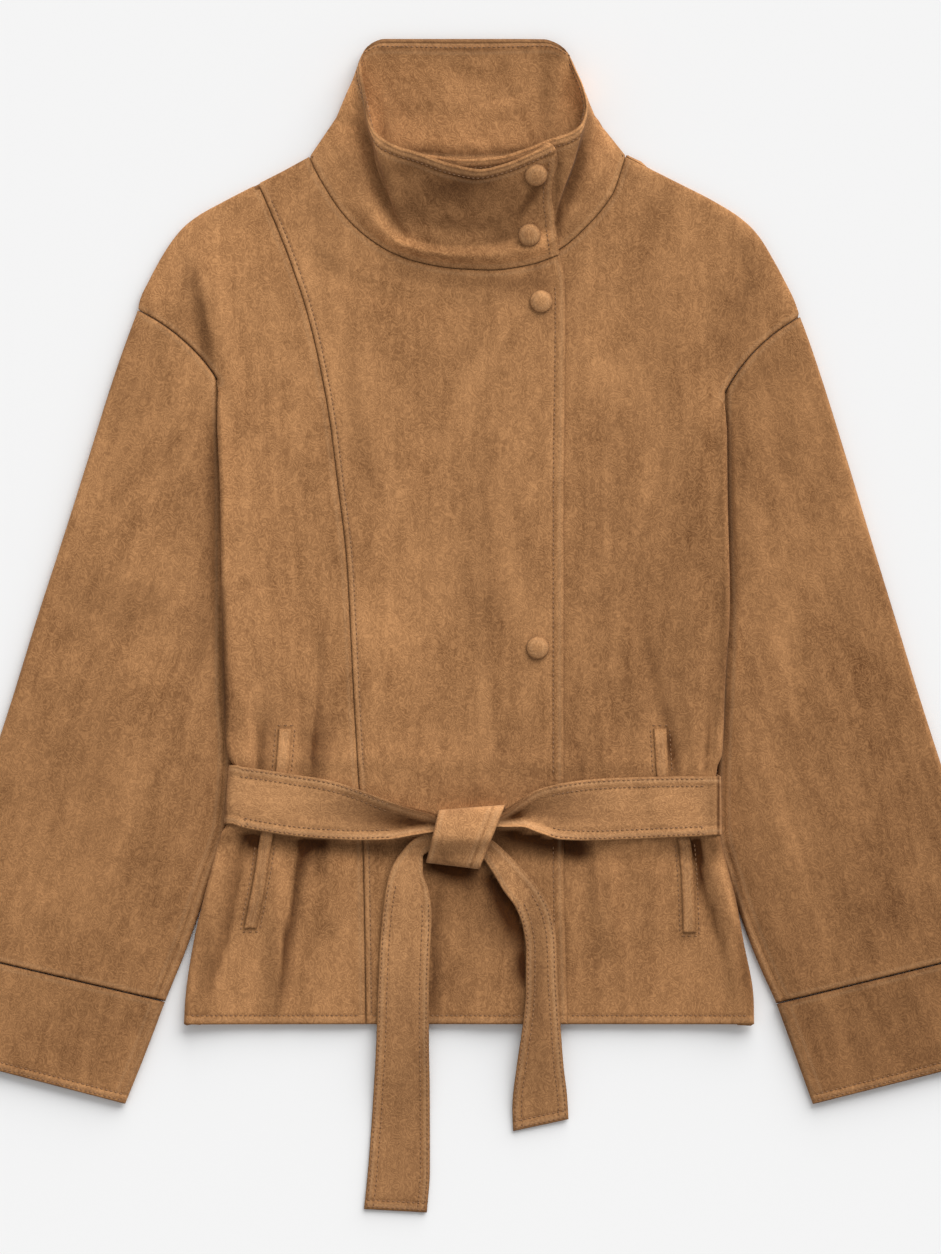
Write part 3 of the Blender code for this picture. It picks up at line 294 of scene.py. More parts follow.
def on_shoulder(rungs, side, column, inset=0):
    """Rungs whose ends in this column of x are moved onto the shoulder's outline."""
    low = PRINCESS_TOP_Y if column == "centre" else SHOULDER_EDGE[side][0][0]
    x, y = (2, 3) if column == "inner" else (0, 1)
    over = (rungs[:, y] > low + 0.5) & (rungs[:, y] <= NECK_CORNER_Y)
    sign = -1 if side == "left" else 1
    rungs[over, x] = along_seam(SHOULDER_EDGE[side], rungs[over, y]) + sign * inset
    return rungs


def rung_points(rungs, shares):
    """Points along each rung: share 0 at its outer end, 1 at its inner end."""
    rungs, shares = np.asarray(rungs, float)[:, None, :], np.asarray(shares, float)[None, :]
    run_x, run_y = rungs[..., 2] - rungs[..., 0], rungs[..., 3] - rungs[..., 1]
    bend = rungs[..., 4] * 4 * shares * (1 - shares) / np.hypot(run_x, run_y)
    return np.stack([rungs[..., 0] + run_x * shares + run_y * bend,
                     rungs[..., 1] + run_y * shares - run_x * bend], axis=-1)


def rung_travel(rungs):
    """Distance from the first rung to each one, halfway between what their two ends move."""
    rungs = np.asarray(rungs, float)
    return 0.5 * (travelled(rungs[:, 0:2]) + travelled(rungs[:, 2:4]))


def read_rungs(table, where):
    """Rungs at these distances from the first, on soft curves through a table's rows."""
    table, travel = np.asarray(table, float), rung_travel(table)
    return np.stack([soft_curve(travel, column, where) for column in table.T], axis=1)


SEWN_EDGE = (0, 0.6, 1.2, 1.9, 2.6, 3.3, 4, 4.8, 5.6, 6.4, 7.2, 8, 9, 10.4, 12.4)
PLAIN_EDGE = (0, 0.8, 1.7, 3, 4.8)


def spaced(length, step, start, end):
    """Places from 0 to length, a step apart, and closer together near edges that carry sewing."""
    inner = length - start[-1] - end[-1]
    middle = start[-1] + np.linspace(0, inner, max(2, round(inner / step) + 1))
    return np.concatenate([start[:-1], middle, length - np.array(end[:-1])[::-1]])


def fill_in(rungs, step):
    """The same rungs, with others put between any two that lie more than a step apart."""
    rungs, travel = np.asarray(rungs, float), rung_travel(rungs)
    where = [travel[0]]
    for low, high in zip(travel, travel[1:]):
        where += list(np.linspace(low, high, max(1, math.ceil((high - low) / step)) + 1)[1:])
    return np.stack([np.interp(where, travel, column) for column in rungs.T], axis=1)


ACROSS_ARMHOLE = (0.66, 0.75)      # square to an armhole, towards the body and up


def armhole_points(side, shares, gap=SEAM):
    """Places along an armhole, from the shoulder point at 0 to the underarm at 1."""
    inward = 1 if side == "right" else -1
    places = rung_points([ARMHOLE[side]], shares)[0]
    return places + np.array((inward * ACROSS_ARMHOLE[0], ACROSS_ARMHOLE[1])) * gap


print("armhole is", round(travelled(armhole_points("right", np.linspace(0, 1, 30)))[-1]), "mm long")

# %% [markdown]
# ## How high the cloth lies
#
# Both fronts lie on the back. They puff up along the side folds, step over the belt behind
# them, and carry the creases that a body leaves. A crease here is a path with a soft section:
# each side of it has its own width, so one can be a round ridge, a trough, or a fold that is
# steep on one side and gentle on the other.

# %% Creases of the fronts
Crease = namedtuple("Crease", "path rise left right")


def creases(*rows):
    """Creases from rows of rise, reach to the left, reach to the right, and the path's points."""
    return [Crease(np.array(path, float), rise, left, right) for rise, left, right, *path in rows]


MAIN_FOLDS = creases(  # the ones that the solids have too
    (1.8, 17, 17, (-199, 575), (-172, 440)),
    (1.8, 17, 17, (201, 570), (177, 430)),
    (-1.6, 22, 22, (-109, 196), (-112, 360)),
    (2, 26, 26, (-142, 190), (-150, 330)),
    (3.6, 15, 15, (-147, 146), (-141, 0)),
    (-2, 12, 12, (-130, 142), (-131, -4)),
    (2.4, 12, 12, (-158, 144), (-197, 8)),
    (-1.6, 18, 18, (128, 345), (149, 196)),
    (2, 18, 18, (170, 340), (172, 190)),
    (1.8, 12, 12, (104, 142), (106, 50)),
    (-2, 10, 10, (165, 146), (187, 60)),
    (3, 13, 13, (176, 146), (208, 0)),
)
FINE_CREASES = creases(
    # skirt, right side: valley by the pocket, sharp ridge beside the belt's shadow
    (-2.6, 5, 9, (-164, 150), (-176, 78), (-193, 14)),
    (1.6, 6, 6, (-172, 150), (-186, 80), (-205, 6)),
    (2.6, 20, 7, (-122, 152), (-128, 120), (-134, 84), (-141, 30)),
    (-1.8, 9, 13, (-111, 152), (-113, 118), (-118, 84), (-122, 40)),
    (1.2, 10, 12, (-97, 148), (-98, 112), (-101, 66)),
    # skirt, left side
    (1.5, 4, 9, (94.5, 150), (95.5, 122), (97.2, 78)),
    (-1, 9, 9, (112, 150), (118, 104), (121, 56)),
    (1.3, 9, 12, (136, 150), (141, 110), (143, 60)),
    (-2.2, 5, 5, (174, 150), (178, 116), (189, 64), (193, 30)),
    (1.4, 6, 5, (183, 150), (190, 112), (203, 60)),
    (-1.5, 4, 4, (190, 146), (198, 104), (207, 70)),
    # above the belt, right side
    (-1.6, 5, 8, (-156.6, 238), (-157.5, 210), (-158, 180)),
    (1.9, 3, 13, (-112.6, 262), (-115, 224), (-118.5, 178)),
    (-1.2, 8, 7, (-127, 250), (-127, 214), (-128, 180)),
    (1.3, 7, 7, (-170, 262), (-168, 224), (-166, 186)),
    (-0.8, 6, 8, (-96, 232), (-97, 206), (-97, 178)),
    # above the belt, left side
    (-1, 4, 5, (84.8, 224), (84.8, 204), (85.2, 182)),
    (0.9, 9, 9, (98, 240), (101, 210), (104, 182)),
    (-0.8, 8, 9, (120, 236), (121, 208), (122, 180)),
    (-1.5, 4, 6, (151, 236), (152.5, 212), (158, 182)),
    (1.4, 7, 6, (166, 246), (168.5, 216), (170, 182)),
    (-1.8, 4, 5, (184.6, 252), (183, 222), (179.5, 182)),
    # long soft drags over the chest and down the fronts
    (-0.9, 9, 10, (-212, 560), (-196, 500), (-176, 446)),
    (0.8, 18, 22, (-150, 470), (-158, 390), (-160, 330)),
    (-0.7, 15, 17, (-120, 420), (-128, 352), (-124, 280)),
    (0.8, 18, 22, (-64, 330), (-62, 262), (-60, 196)),
    (-0.8, 18, 20, (-20, 300), (-24, 240), (-22, 190)),
    (0.7, 20, 26, (18, 420), (12, 330), (14, 250)),
    (-0.6, 22, 22, (-58, 520), (-66, 452), (-70, 400)),
    (0.7, 20, 20, (150, 560), (160, 500), (160, 420)),
    (-0.7, 22, 18, (118, 520), (112, 440), (110, 360)),
    (-0.9, 9, 9, (214, 556), (200, 500), (184, 448)),
    (0.9, 12, 14, (138, 330), (134, 280), (130, 226)),
    # hollows beside the standing collar
    (-0.8, 11, 14, (-139, 606), (-104, 566), (-58, 546), (0, 538), (56, 542)),
    (-0.9, 11, 12, (134, 604), (112, 574), (88, 556)),
)


print(len(MAIN_FOLDS), "main folds and", len(FINE_CREASES), "fine creases")

# %% Section of a crease
def crease_rise(crease, x, y):
    """What one crease adds: its section across, fading out at both ends of its path."""
    path = crease.path
    travel = travelled(path)
    fine = np.linspace(0, travel[-1], 4 * len(path) - 3)
    line = np.stack([soft_curve(travel, path[:, i], fine) for i in range(2)], axis=1)
    widest = max(crease.left, crease.right)
    near = ((x > line[:, 0].min() - widest) & (x < line[:, 0].max() + widest)
            & (y > line[:, 1].min() - widest) & (y < line[:, 1].max() + widest))
    rise = np.zeros(x.shape)
    px, py = x[near], y[near]
    best, along, side = np.full(px.shape, 1e9), np.zeros(px.shape), np.zeros(px.shape)
    for k, ((x0, y0), (x1, y1)) in enumerate(zip(line, line[1:])):
        run_x, run_y = x1 - x0, y1 - y0
        length = math.hypot(run_x, run_y)
        share = np.clip(((px - x0) * run_x + (py - y0) * run_y) / length ** 2, 0, 1)
        off_x, off_y = px - x0 - run_x * share, py - y0 - run_y * share
        away = np.hypot(off_x, off_y)
        closer = away < best
        best = np.where(closer, away, best)
        along = np.where(closer, (k + share) / (len(line) - 1), along)
        side = np.where(closer, off_x * run_y - off_y * run_x, side)
    width = np.where(side > 0, crease.right, crease.left)
    rise[near] = crease.rise * hump(best / width) * (1 - (2 * along - 1) ** 4)
    return rise


def rise_of(folds, x, y):
    """What several creases add together."""
    return sum(crease_rise(fold, x, y) for fold in folds)


print("a fold is", round(float(rise_of(MAIN_FOLDS[4:5], np.array([-144]), np.array([73]))[0]), 2),
      "mm high at its middle")

# %% Heights of the back and the fronts
BAND_REACH, BAND_RAMP = 22, 20       # how the cloth comes down from the belt's strip
PUFF_REACH = 60                        # how far in from a side fold a front stands up
NIP_Y, NIP_FALL, NIP_DEPTH = 132, 0.012, 2.3       # the groove along the belt's lower edge
NIP_ABOVE, NIP_BELOW = 9, 17
SWELLS = ((92, 34, 0.9), (206, 18, 0.8))     # y, half height and rise, below and above the belt
HILLS = ((34, 5, 0.3), (13, 6, 0.14))            # size, seed and height of the cloth's small unevenness


def belt_band(x, y):
    """1 over the belt's strip behind the back, falling to 0 above and below it."""
    away = np.abs(y - BELT_MIDDLE_Y + BELT_FALL * x)
    return smooth_step((BELT_WIDTH / 2 + BAND_REACH - away) / BAND_RAMP)


def shoulder_line(side):
    """Close points of the shoulder's edge, from the shoulder point to the neck."""
    y = np.linspace(SHOULDER_EDGE[side][0][0], SHOULDER_EDGE[side][-1][0], 48)
    return np.stack([along_seam(SHOULDER_EDGE[side], y), y], axis=1)


def soft_hills(x, y, size, seed):
    """Smooth hills and hollows about this size across, from -1 to 1."""
    grid = np.random.default_rng(seed).uniform(-1, 1, (64, 64))
    u, v = x / size + 31, y / size + 31
    i, j = np.floor(u).astype(int) % 63, np.floor(v).astype(int) % 63
    a, b = smooth_step(u - np.floor(u)), smooth_step(v - np.floor(v))
    return ((grid[i, j] * (1 - a) + grid[i + 1, j] * a) * (1 - b)
            + (grid[i, j + 1] * (1 - a) + grid[i + 1, j + 1] * a) * b)


def front_height(x, y, fine=True):
    """Outer face of a front that lies on the back panel."""
    x, y = np.broadcast_arrays(np.asarray(x, float), np.asarray(y, float))
    right, left = side_fold("right", y), side_fold("left", y)
    fold_x, lift = np.where(x < 0, right[0], left[0]), np.where(x < 0, right[1], left[1])
    from_fold = np.maximum(0, np.abs(fold_x) - np.abs(x))
    puff = lift * np.maximum(0, 1 - from_fold / PUFF_REACH) ** 2
    height = FRONT_REST + BELT_LIFT * belt_band(x, y) + puff
    if fine:
        above = y - (NIP_Y - NIP_FALL * x)
        height = height - NIP_DEPTH * hump(above / np.where(above > 0, NIP_ABOVE, NIP_BELOW))
        for middle, reach, rise in SWELLS:
            height = height + rise * hump((y - middle) / reach)
    for crease in MAIN_FOLDS + (FINE_CREASES if fine else []):
        height = height + crease_rise(crease, x, y)
    if fine:
        for size, seed, rise in HILLS:
            height = height + rise * soft_hills(x, y, size, seed)
    inside = np.ones(x.shape)
    for side, sign in (("right", -1), ("left", 1)):
        near = (y > 505) & (x * sign > 60)
        away = distance_to(shoulder_line(side), x[near], y[near])
        inside[near] = np.minimum(1, away / SHOULDER_ROUND)
    edge = 2 * SUEDE + SEAM
    return edge + (height - edge) * np.sqrt(1 - (1 - inside) ** 2)


def lapped_height(x, y, fine=True):
    """Outer face of the right front, which climbs over the hidden edge of the left one."""
    hidden_edge = along_seam(FRONT_EDGE, y) - LAP
    return front_height(x, y, fine) + LAP_STEP * smooth_step((x - hidden_edge + 46) / 40)


def fronts_top(x, y):
    """Height of whichever front lies on top at a place."""
    over = x <= along_seam(FRONT_EDGE, y) + 0.5
    return np.where(over, lapped_height(x, y), front_height(x, y))


def highest(height, x, y, reach):
    """The highest that something stands within reach of each place."""
    places = [(dx, dy) for dx in (-1, -0.5, 0, 0.5, 1) for dy in (-0.5, 0, 0.5)]
    return np.max([height(x + dx * reach, y + dy * reach) for dx, dy in places], axis=0)


print("a front's middle lies", front_height(0, 300).round(2), "mm above the table")

# %% [markdown]
# ## Making a skin
#
# Cloth has two faces and an edge. A Solidify modifier on a single sheet would make them. Here a
# helper does it, because it also has three things to store with every point for the suede: how
# far the point is from a sewn edge, a lighter or darker tone that holds both the hide's own tone
# and painted light and shade, and its place on the hide. It takes the grid of the outer face,
# moves it inwards along its own normals for the inner face, and joins the two round the rim.

# %% Skin helper
COLLECTION = bpy.data.collections.new("suede_jacket_looks")
bpy.context.scene.collection.children.link(COLLECTION)
FINISHES = ("suede", "belt_suede", "button_suede", "thread")
MATERIALS = {name: bpy.data.materials.new(name) for name in FINISHES}
GRIDS, AREAS = {}, {}
SHARP_ANGLE = math.radians(50)     # an edge sharper than this isn't shaded smooth
HIDE_STEP, HIDE_PLACES = 40, 97    # each piece is cut from another place on the hide


def grid_normals(grid, ring=False):
    """Unit normals of a grid of points, looking up for rows that run up the garment."""
    if ring:
        across = np.roll(grid, -1, axis=1) - np.roll(grid, 1, axis=1)
    else:
        across = np.gradient(grid, axis=1)
    normals = np.cross(across, np.gradient(grid, axis=0))
    return normals / np.maximum(np.linalg.norm(normals, axis=2, keepdims=True), 1e-9)


def grid_area(grid, ring):
    """Area of a grid in square metres."""
    if ring:
        grid = np.concatenate([grid, grid[:, :1]], axis=1)
    one, two = grid[1:, 1:] - grid[:-1, :-1], grid[1:, :-1] - grid[:-1, 1:]
    return float(0.5 * np.linalg.norm(np.cross(one, two), axis=2).sum()) * 1e-6


def make_object(name, points, faces, material, layers=()):
    """A smooth mesh object from millimetre points, with its named layers of numbers."""
    mesh = bpy.data.meshes.new(name)
    mesh.from_pydata(world(points).tolist(), [], faces)
    mesh.materials.append(MATERIALS[material])
    for layer, values in layers:
        kind = "FLOAT_VECTOR" if values.ndim == 2 else "FLOAT"
        data = mesh.attributes.new(layer, kind, "POINT").data
        data.foreach_set("vector" if values.ndim == 2 else "value", values.astype(np.float32).ravel())
    mesh.shade_smooth()
    mesh.set_sharp_from_angle(angle=SHARP_ANGLE)
    piece = bpy.data.objects.new(name, mesh)
    COLLECTION.objects.link(piece)
    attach(piece, "root")
    return piece


print("finishes to fill in later:", FINISHES)

# %% The skin itself
def skin(name, grid, thickness, material, edge, tone=0, grain=0, ring=False, looks_up=True):
    """A closed skin: its outer face is a grid whose rows run up and points run to the left.

    edge is each point's distance from the nearest sewn edge, tone its lightness from -1 to 1,
    which holds the hide's own tone and painted light and shade, and grain the angle by which
    the hide was turned when the piece was cut.
    """
    rows, count = grid.shape[:2]
    normals = grid_normals(grid, ring)
    top = int(np.argmax(grid[rows // 2, :, 2])) if ring else count // 2
    if looks_up and normals[rows // 2, top, 2] < 0:
        sys.exit(f"{name} looks down")
    inner = grid - normals * thickness
    points = np.concatenate([grid.reshape(-1, 3), inner.reshape(-1, 3)])
    last = count if ring else count - 1
    i, j = np.meshgrid(np.arange(rows - 1), np.arange(last), indexing="ij")
    k = (j + 1) % count
    outer = np.stack([i * count + j, i * count + k, (i + 1) * count + k, (i + 1) * count + j], axis=-1)
    faces = [outer.reshape(-1, 4), outer.reshape(-1, 4)[:, ::-1] + rows * count]
    rim = [(np.arange(last), (np.arange(last) + 1) % count)]
    rim.append(((np.arange(last) + 1) % count + (rows - 1) * count, np.arange(last) + (rows - 1) * count))
    if not ring:
        steps = np.arange(rows - 1)
        rim.append(((steps + 1) * count, steps * count))
        rim.append((steps * count + count - 1, (steps + 1) * count + count - 1))
    for a, b in rim:
        faces.append(np.stack([b, a, a + rows * count, b + rows * count], axis=-1))
    edge = np.broadcast_to(edge, (rows, count)).ravel()
    tone = np.broadcast_to(tone, (rows, count)).ravel()
    turn = math.radians(grain)
    offset = HIDE_STEP * (sum(ord(letter) for letter in name) % HIDE_PLACES)
    hide = np.stack([points[:, 0] * math.cos(turn) + points[:, 1] * math.sin(turn),
                     points[:, 1] * math.cos(turn) - points[:, 0] * math.sin(turn),
                     points[:, 2] + offset], axis=1) * MM
    layers = [("edge_mm", np.tile(edge, 2)), ("tone", np.tile(tone, 2)), ("hide", hide)]
    piece = make_object(name, points, np.concatenate(faces).tolist(), material, layers)
    GRIDS[name] = grid
    AREAS[name] = grid_area(grid, ring)
    print(f"{name}: {len(piece.data.polygons)} faces, {AREAS[name]:.4f} m2 of suede")
    return piece


print("each skin is cut from one of", HIDE_PLACES, "places on the hide,", HIDE_STEP, "mm apart")

# %% [markdown]
# ## Pressing and sewing
#
# Where two panels meet, the suede rolls down into the seam. Where a row of stitches holds it,
# it sinks a little along the row and puffs up beside it. Both are small heights that depend
# only on the distance to a line on the table.

# %% Seam and stitch-row heights
def rolled_down(away, width, drop):
    """Height lost where cloth rolls down into a seam or over its own edge."""
    return -drop * (1 - np.sqrt(1 - (1 - np.clip(away / width, 0, 1)) ** 2))


def stitched_row(away, at, depth=0.45):
    """A row of stitches at this distance from an edge, and the puff between it and the edge."""
    return 0.35 * depth * hump((away - at * 0.5) / max(1, at * 0.5)) - depth * hump((away - at) / 1.5)


STITCH_TONE, ROW_HALF = -0.15, 1.1       # how dark the painted shade along a row of stitches is, and how wide to each side


def stitch_shade(away, *rows):
    """Painted shade along rows of stitches, in the groove where the thread pulls the suede in."""
    return sum(STITCH_TONE * hump((away - at) / ROW_HALF) for at in rows)


def seam_shade(away, depth=0.38):
    """Dark line of a seam: painted shade where the nap is pulled into its groove."""
    return -depth * hump(np.asarray(away) / 1.25)


def hem_form(from_hem):
    """The rolled edge and the one row of stitches of the hem."""
    return stitched_row(from_hem, HEM_ROW, 0.3) + rolled_down(from_hem, 1.6, 0.8)


# painted shade along the hem's row of stitches
def hem_tone(from_hem):
    return 0.5 * stitch_shade(from_hem, HEM_ROW)


def thinned(line, every=3):
    """A line of points with fewer of them, its two ends kept."""
    line = np.asarray(line)[:, :2]
    return np.concatenate([line[:-1:every], line[-1:]])


def tone_of(places, x, y):
    """Sum of soft lighter and darker patches, of painted light and shade and of the hide's own tone: x, y,
    half width, half height, tone.
    """
    tone = np.zeros(np.shape(x))
    for px, py, wide, high, value in places:
        tone = tone + value * np.exp(-((x - px) / wide) ** 2 - ((y - py) / high) ** 2)
    return tone


print("a stitch row sinks", stitched_row(np.array(6), 6).round(2), "mm")

# %% [markdown]
# ## The back
#
# The back is one flat piece on the table, and only its edges ever show. It steps over the
# belt's strip. It carries no sewing that shows, so its rungs are spaced evenly.

# %% Back panel
BACK_UNDERARM = [(-181, 466, 186.6, 456, 0), (-182.6, 481, 187.4, 471, 0)]
BACK_SHRINK, BACK_SHOULDER_INSET = 0.6, 0.9      # how far the back's upper edge stays inside the fronts'
BACK_STEP, BACK_COLUMNS, ARM_RUNGS = 4, 90, 18


def build_back():
    levels = np.arange(HEM_Y, 455, 5)
    rungs = np.stack([side_fold("right", levels)[0] + BACK_INSET, levels,
                      side_fold("left", levels)[0] - BACK_INSET, levels,
                      np.zeros(len(levels))], axis=1)
    shares = np.linspace(0.97, 0.02, ARM_RUNGS)
    arms = np.concatenate([armhole_points("right", shares), armhole_points("left", shares),
                           np.zeros((ARM_RUNGS, 1))], axis=1)
    shoulder = read_rungs(BACK_SHOULDER, np.linspace(0, rung_travel(BACK_SHOULDER)[-1], 26))
    shoulder += BACK_SHRINK * np.array((1, -1, -1, -1, 0))
    rungs = fill_in(np.concatenate([rungs, BACK_UNDERARM, arms, shoulder]), BACK_STEP)
    rungs = on_shoulder(rungs, "right", "outer", BACK_SHOULDER_INSET)
    rungs = on_shoulder(rungs, "left", "inner", BACK_SHOULDER_INSET)
    places = rung_points(rungs, np.linspace(0, 1, BACK_COLUMNS))
    x, y = places[..., 0], places[..., 1]
    grid = np.dstack([x, y, SUEDE + BELT_LIFT * belt_band(x, y)])
    edge = np.maximum(distance_to(thinned(grid[-1]), x, y), 0.8)
    return skin("suede_back", grid, SUEDE, "suede", edge)


back = build_back()
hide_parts("back")

# %% [markdown]
# ## The fronts
#
# Each front is laid out on its rungs from the side fold to its inner edge. At the side fold it
# rolls right round and goes in under itself to meet the back. The roll opens out towards the
# armhole, where the panel ends at the seam with the sleeve.

# %% Rolling a front round the side
ROLL_STEPS = 10           # points round the fold
TUCK_STEPS = 5            # and from the fold in to the back
TUCK_REACH = 4.5          # how far a front's turned-in edge reaches over the back's edge
PANEL_STEP = 3.2          # spacing of the points across a panel
RUNG_STEP = 3.4           # spacing of the rows up a panel and along a sleeve
ARM_STEPS = 24


def front_grid(rungs, tuck, shares, height, side):
    """Grid of a front from its rolled outer edge to its inner one. tuck is 1 where it rolls under."""
    edge = rungs[:, :2]
    run = np.gradient(edge, axis=0)
    run /= np.linalg.norm(run, axis=1, keepdims=True)
    sign = 1 if side == "right" else -1
    out = np.stack([-run[:, 1], run[:, 0]], axis=1) * sign
    start = rungs.copy()
    start[:, :2] = edge - out * SIDE_ROLL
    flat = rung_points(start, shares)
    top = height(flat[:, 0, 0], flat[:, 0, 1])
    floor_z = SUEDE + BELT_LIFT * belt_band(edge[:, 0], edge[:, 1]) + LYING
    sweep = math.radians(SIDE_TURN)
    turns = sweep * np.arange(1, ROLL_STEPS + 1) / ROLL_STEPS
    arc_out = -SIDE_ROLL + SIDE_ROLL * np.sin(turns)
    arc_z = top[:, None] - SIDE_ROLL * (1 - np.cos(turns))[None, :]
    ends = np.array((arc_out[-1], -BACK_INSET * 0.9, -BACK_INSET - TUCK_REACH))
    spread = np.linspace(0, 2, TUCK_STEPS + 1)[1:]
    end_out = np.interp(spread, (0, 1, 2), ends)
    middle_z = (arc_z[:, -1] + floor_z) / 2
    end_z = np.stack([np.interp(spread, (0, 1, 2), (a, b, c))
                      for a, b, c in zip(arc_z[:, -1], middle_z, floor_z)])
    rolled_out = np.concatenate([arc_out, end_out])[None, :]
    rolled_z = np.concatenate([arc_z, end_z], axis=1)
    count = rolled_out.shape[1]
    open_out = -SIDE_ROLL * (1 - np.arange(1, count + 1) / count)[None, :]
    places = edge[:, None, :] + out[:, None, :] * open_out[..., None]
    open_z = height(places[..., 0], places[..., 1])
    share = smooth_step(tuck)[:, None]
    roll_out = rolled_out * share + open_out * (1 - share)
    roll_z = rolled_z * share + open_z * (1 - share)
    roll = np.dstack([edge[:, None, :] + out[:, None, :] * roll_out[..., None], roll_z])
    flat = np.dstack([flat, height(flat[..., 0], flat[..., 1])])
    return np.concatenate([roll[:, ::-1], flat], axis=1)


def panel_shares(width, start=SEWN_EDGE, end=SEWN_EDGE):
    """Shares across a panel about this wide, closer together near its edges."""
    return spaced(width, PANEL_STEP, start, end) / width


LEVELS = np.concatenate([HEM_Y + np.array(SEWN_EDGE), np.arange(16, 446.5, 3.3)])
OPENING_Y = 440         # above this the roll at the side opens out


def side_rungs(side, inner_x, levels, arm_levels, shoulder, top_level):
    """Rungs of a front from the hem to the shoulder, and how far each one's edge is tucked."""
    levels = np.concatenate([levels, np.arange(levels[-1] + 3, top_level, 3), [top_level]])
    tuck = 1 - 0.55 * smooth_step((levels - OPENING_Y) / (top_level - OPENING_Y))
    body = np.stack([side_fold(side, levels)[0], levels, inner_x(levels), levels,
                     np.zeros(len(levels)), tuck], axis=1)
    steps = np.linspace(0, 1, ARM_STEPS)
    shares = soft_curve(np.linspace(0, 1, 6), (0.97, 0.8, 0.6, 0.4, 0.2, 0.02), steps)
    heights = soft_curve(np.linspace(0, 1, 6), arm_levels, steps)
    arm = np.concatenate([armhole_points(side, shares), inner_x(heights)[:, None], heights[:, None],
                          np.zeros((ARM_STEPS, 2))], axis=1)
    shoulder = np.concatenate([shoulder, np.zeros((len(shoulder), 1))], axis=1)
    rungs = on_shoulder(fill_in(np.concatenate([body, arm, shoulder]), RUNG_STEP), side, "outer")
    return rungs[:, :5], rungs[:, 5]


def armhole_line(side):
    return armhole_points(side, np.linspace(-0.02, 1, 26), 0)


print("a side fold has", ROLL_STEPS, "steps of", round(SIDE_TURN / ROLL_STEPS, 1), "degrees")

# %% [markdown]
# ## Painted light and shade
#
# The tone of the fronts is partly the hide's own cloudy tone and partly painted light and shade.
# A noise pattern alone spreads such marks evenly, but light and shade have places: painted
# shade under the belt, beside the hanging ends, below the collar and in the lee of a fold, and
# painted light on the shoulders and where the cloth is stretched. So these marks are given as
# soft patches, and as shades that use the section of a crease.

# %% Tone of the fronts
# patches of painted light and shade, and of the hide's own tone
# x, y, half width, half height, tone
FRONT_PATCHES = [
    (-180, 588, 45, 36, 0.16), (-100, 470, 40, 90, 0.04), (-40, 560, 60, 40, 0.06),
    (0, 30, 230, 90, -0.07), (-2, 108, 34, 26, -0.3), (0, 40, 24, 60, -0.08), (-150, 60, 50, 70, -0.06),
    (-205, 500, 20, 60, -0.14), (206, 500, 20, 60, -0.12), (20, 330, 40, 110, -0.07),
    (-151, 204, 9, 24, -0.24), (120, 330, 60, 150, -0.07), (171, 132, 4, 8, -0.5),
    (-161, 137, 6, 9, -0.4), (-184, 280, 7, 80, -0.06), (176, 440, 12, 70, 0.12),
    (192, 290, 8, 70, -0.08), (-178, 410, 9, 60, 0.08), (24, 202, 76, 30, -0.17),
    (98, 512, 16, 46, 0.12), (174, 588, 18, 30, 0.12), (-80, 280, 34, 50, 0.08),
    (118, 600, 18, 20, 0.1), (16, 390, 12, 50, -0.12), (16, 318, 14, 24, -0.16),
    (-21, 348, 14, 24, -0.1), (-88, 470, 13, 45, -0.12), (-108, 572, 12, 26, -0.14),
    (-6, 288, 14, 30, 0.08), (80, 400, 10, 60, 0.12), (50, 555, 28, 8, -0.22), (62, 528, 10, 18, -0.12),
    (-146, 230, 15, 28, -0.12), (-111, 214, 8, 26, -0.22), (-199, 58, 8, 34, -0.22),
    (58, 106, 12, 16, -0.22), (84, 128, 8, 6, -0.35), (128, 128, 26, 8, 0.14),
    (-108, 612, 14, 14, -0.22), (-235, 552, 18, 18, 0.2), (234, 543, 14, 22, 0.12),
    (-190, 608, 12, 12, -0.16), (92, 438, 9, 30, 0.08), (129, 430, 10, 40, 0.08),
    (181, 430, 6, 60, 0.12), (144, 528, 9, 18, -0.12), (46, 280, 10, 36, -0.1), (99, 236, 12, 30, 0.08),
    (166, 206, 24, 14, -0.14), (8, 172, 30, 8, -0.26), (-88, 126, 14, 8, 0.26), (-176, 138, 8, 8, 0.45),
    (179, 134, 5, 7, 0.35), (-160, 84, 6, 26, 0.12), (-111, 78, 10, 24, 0.08), (-20, 119, 16, 5, -0.4),
    (-183, 360, 5, 90, 0.1), (-167, 356, 8, 20, -0.12), (-140, 232, 26, 34, -0.12),
    (1, 528, 10, 20, -0.1), (-36, 420, 10, 24, 0.08), (114, 521, 10, 18, 0.08),
    (204, 40, 10, 22, -0.14), (137, 63, 24, 24, 0.09), (-103, 206, 9, 18, -0.18),
    (129, 134, 22, 6, 0.16), (24, 62, 9, 9, -0.14), (-26, 26, 7, 18, -0.18), (173, 112, 4.5, 17, -0.4),
    (-163, 118, 6, 20, -0.14), (22, 84, 12, 16, -0.4), (28, 70, 7, 12, -0.22), (16, 110, 8, 8, -0.22),
]
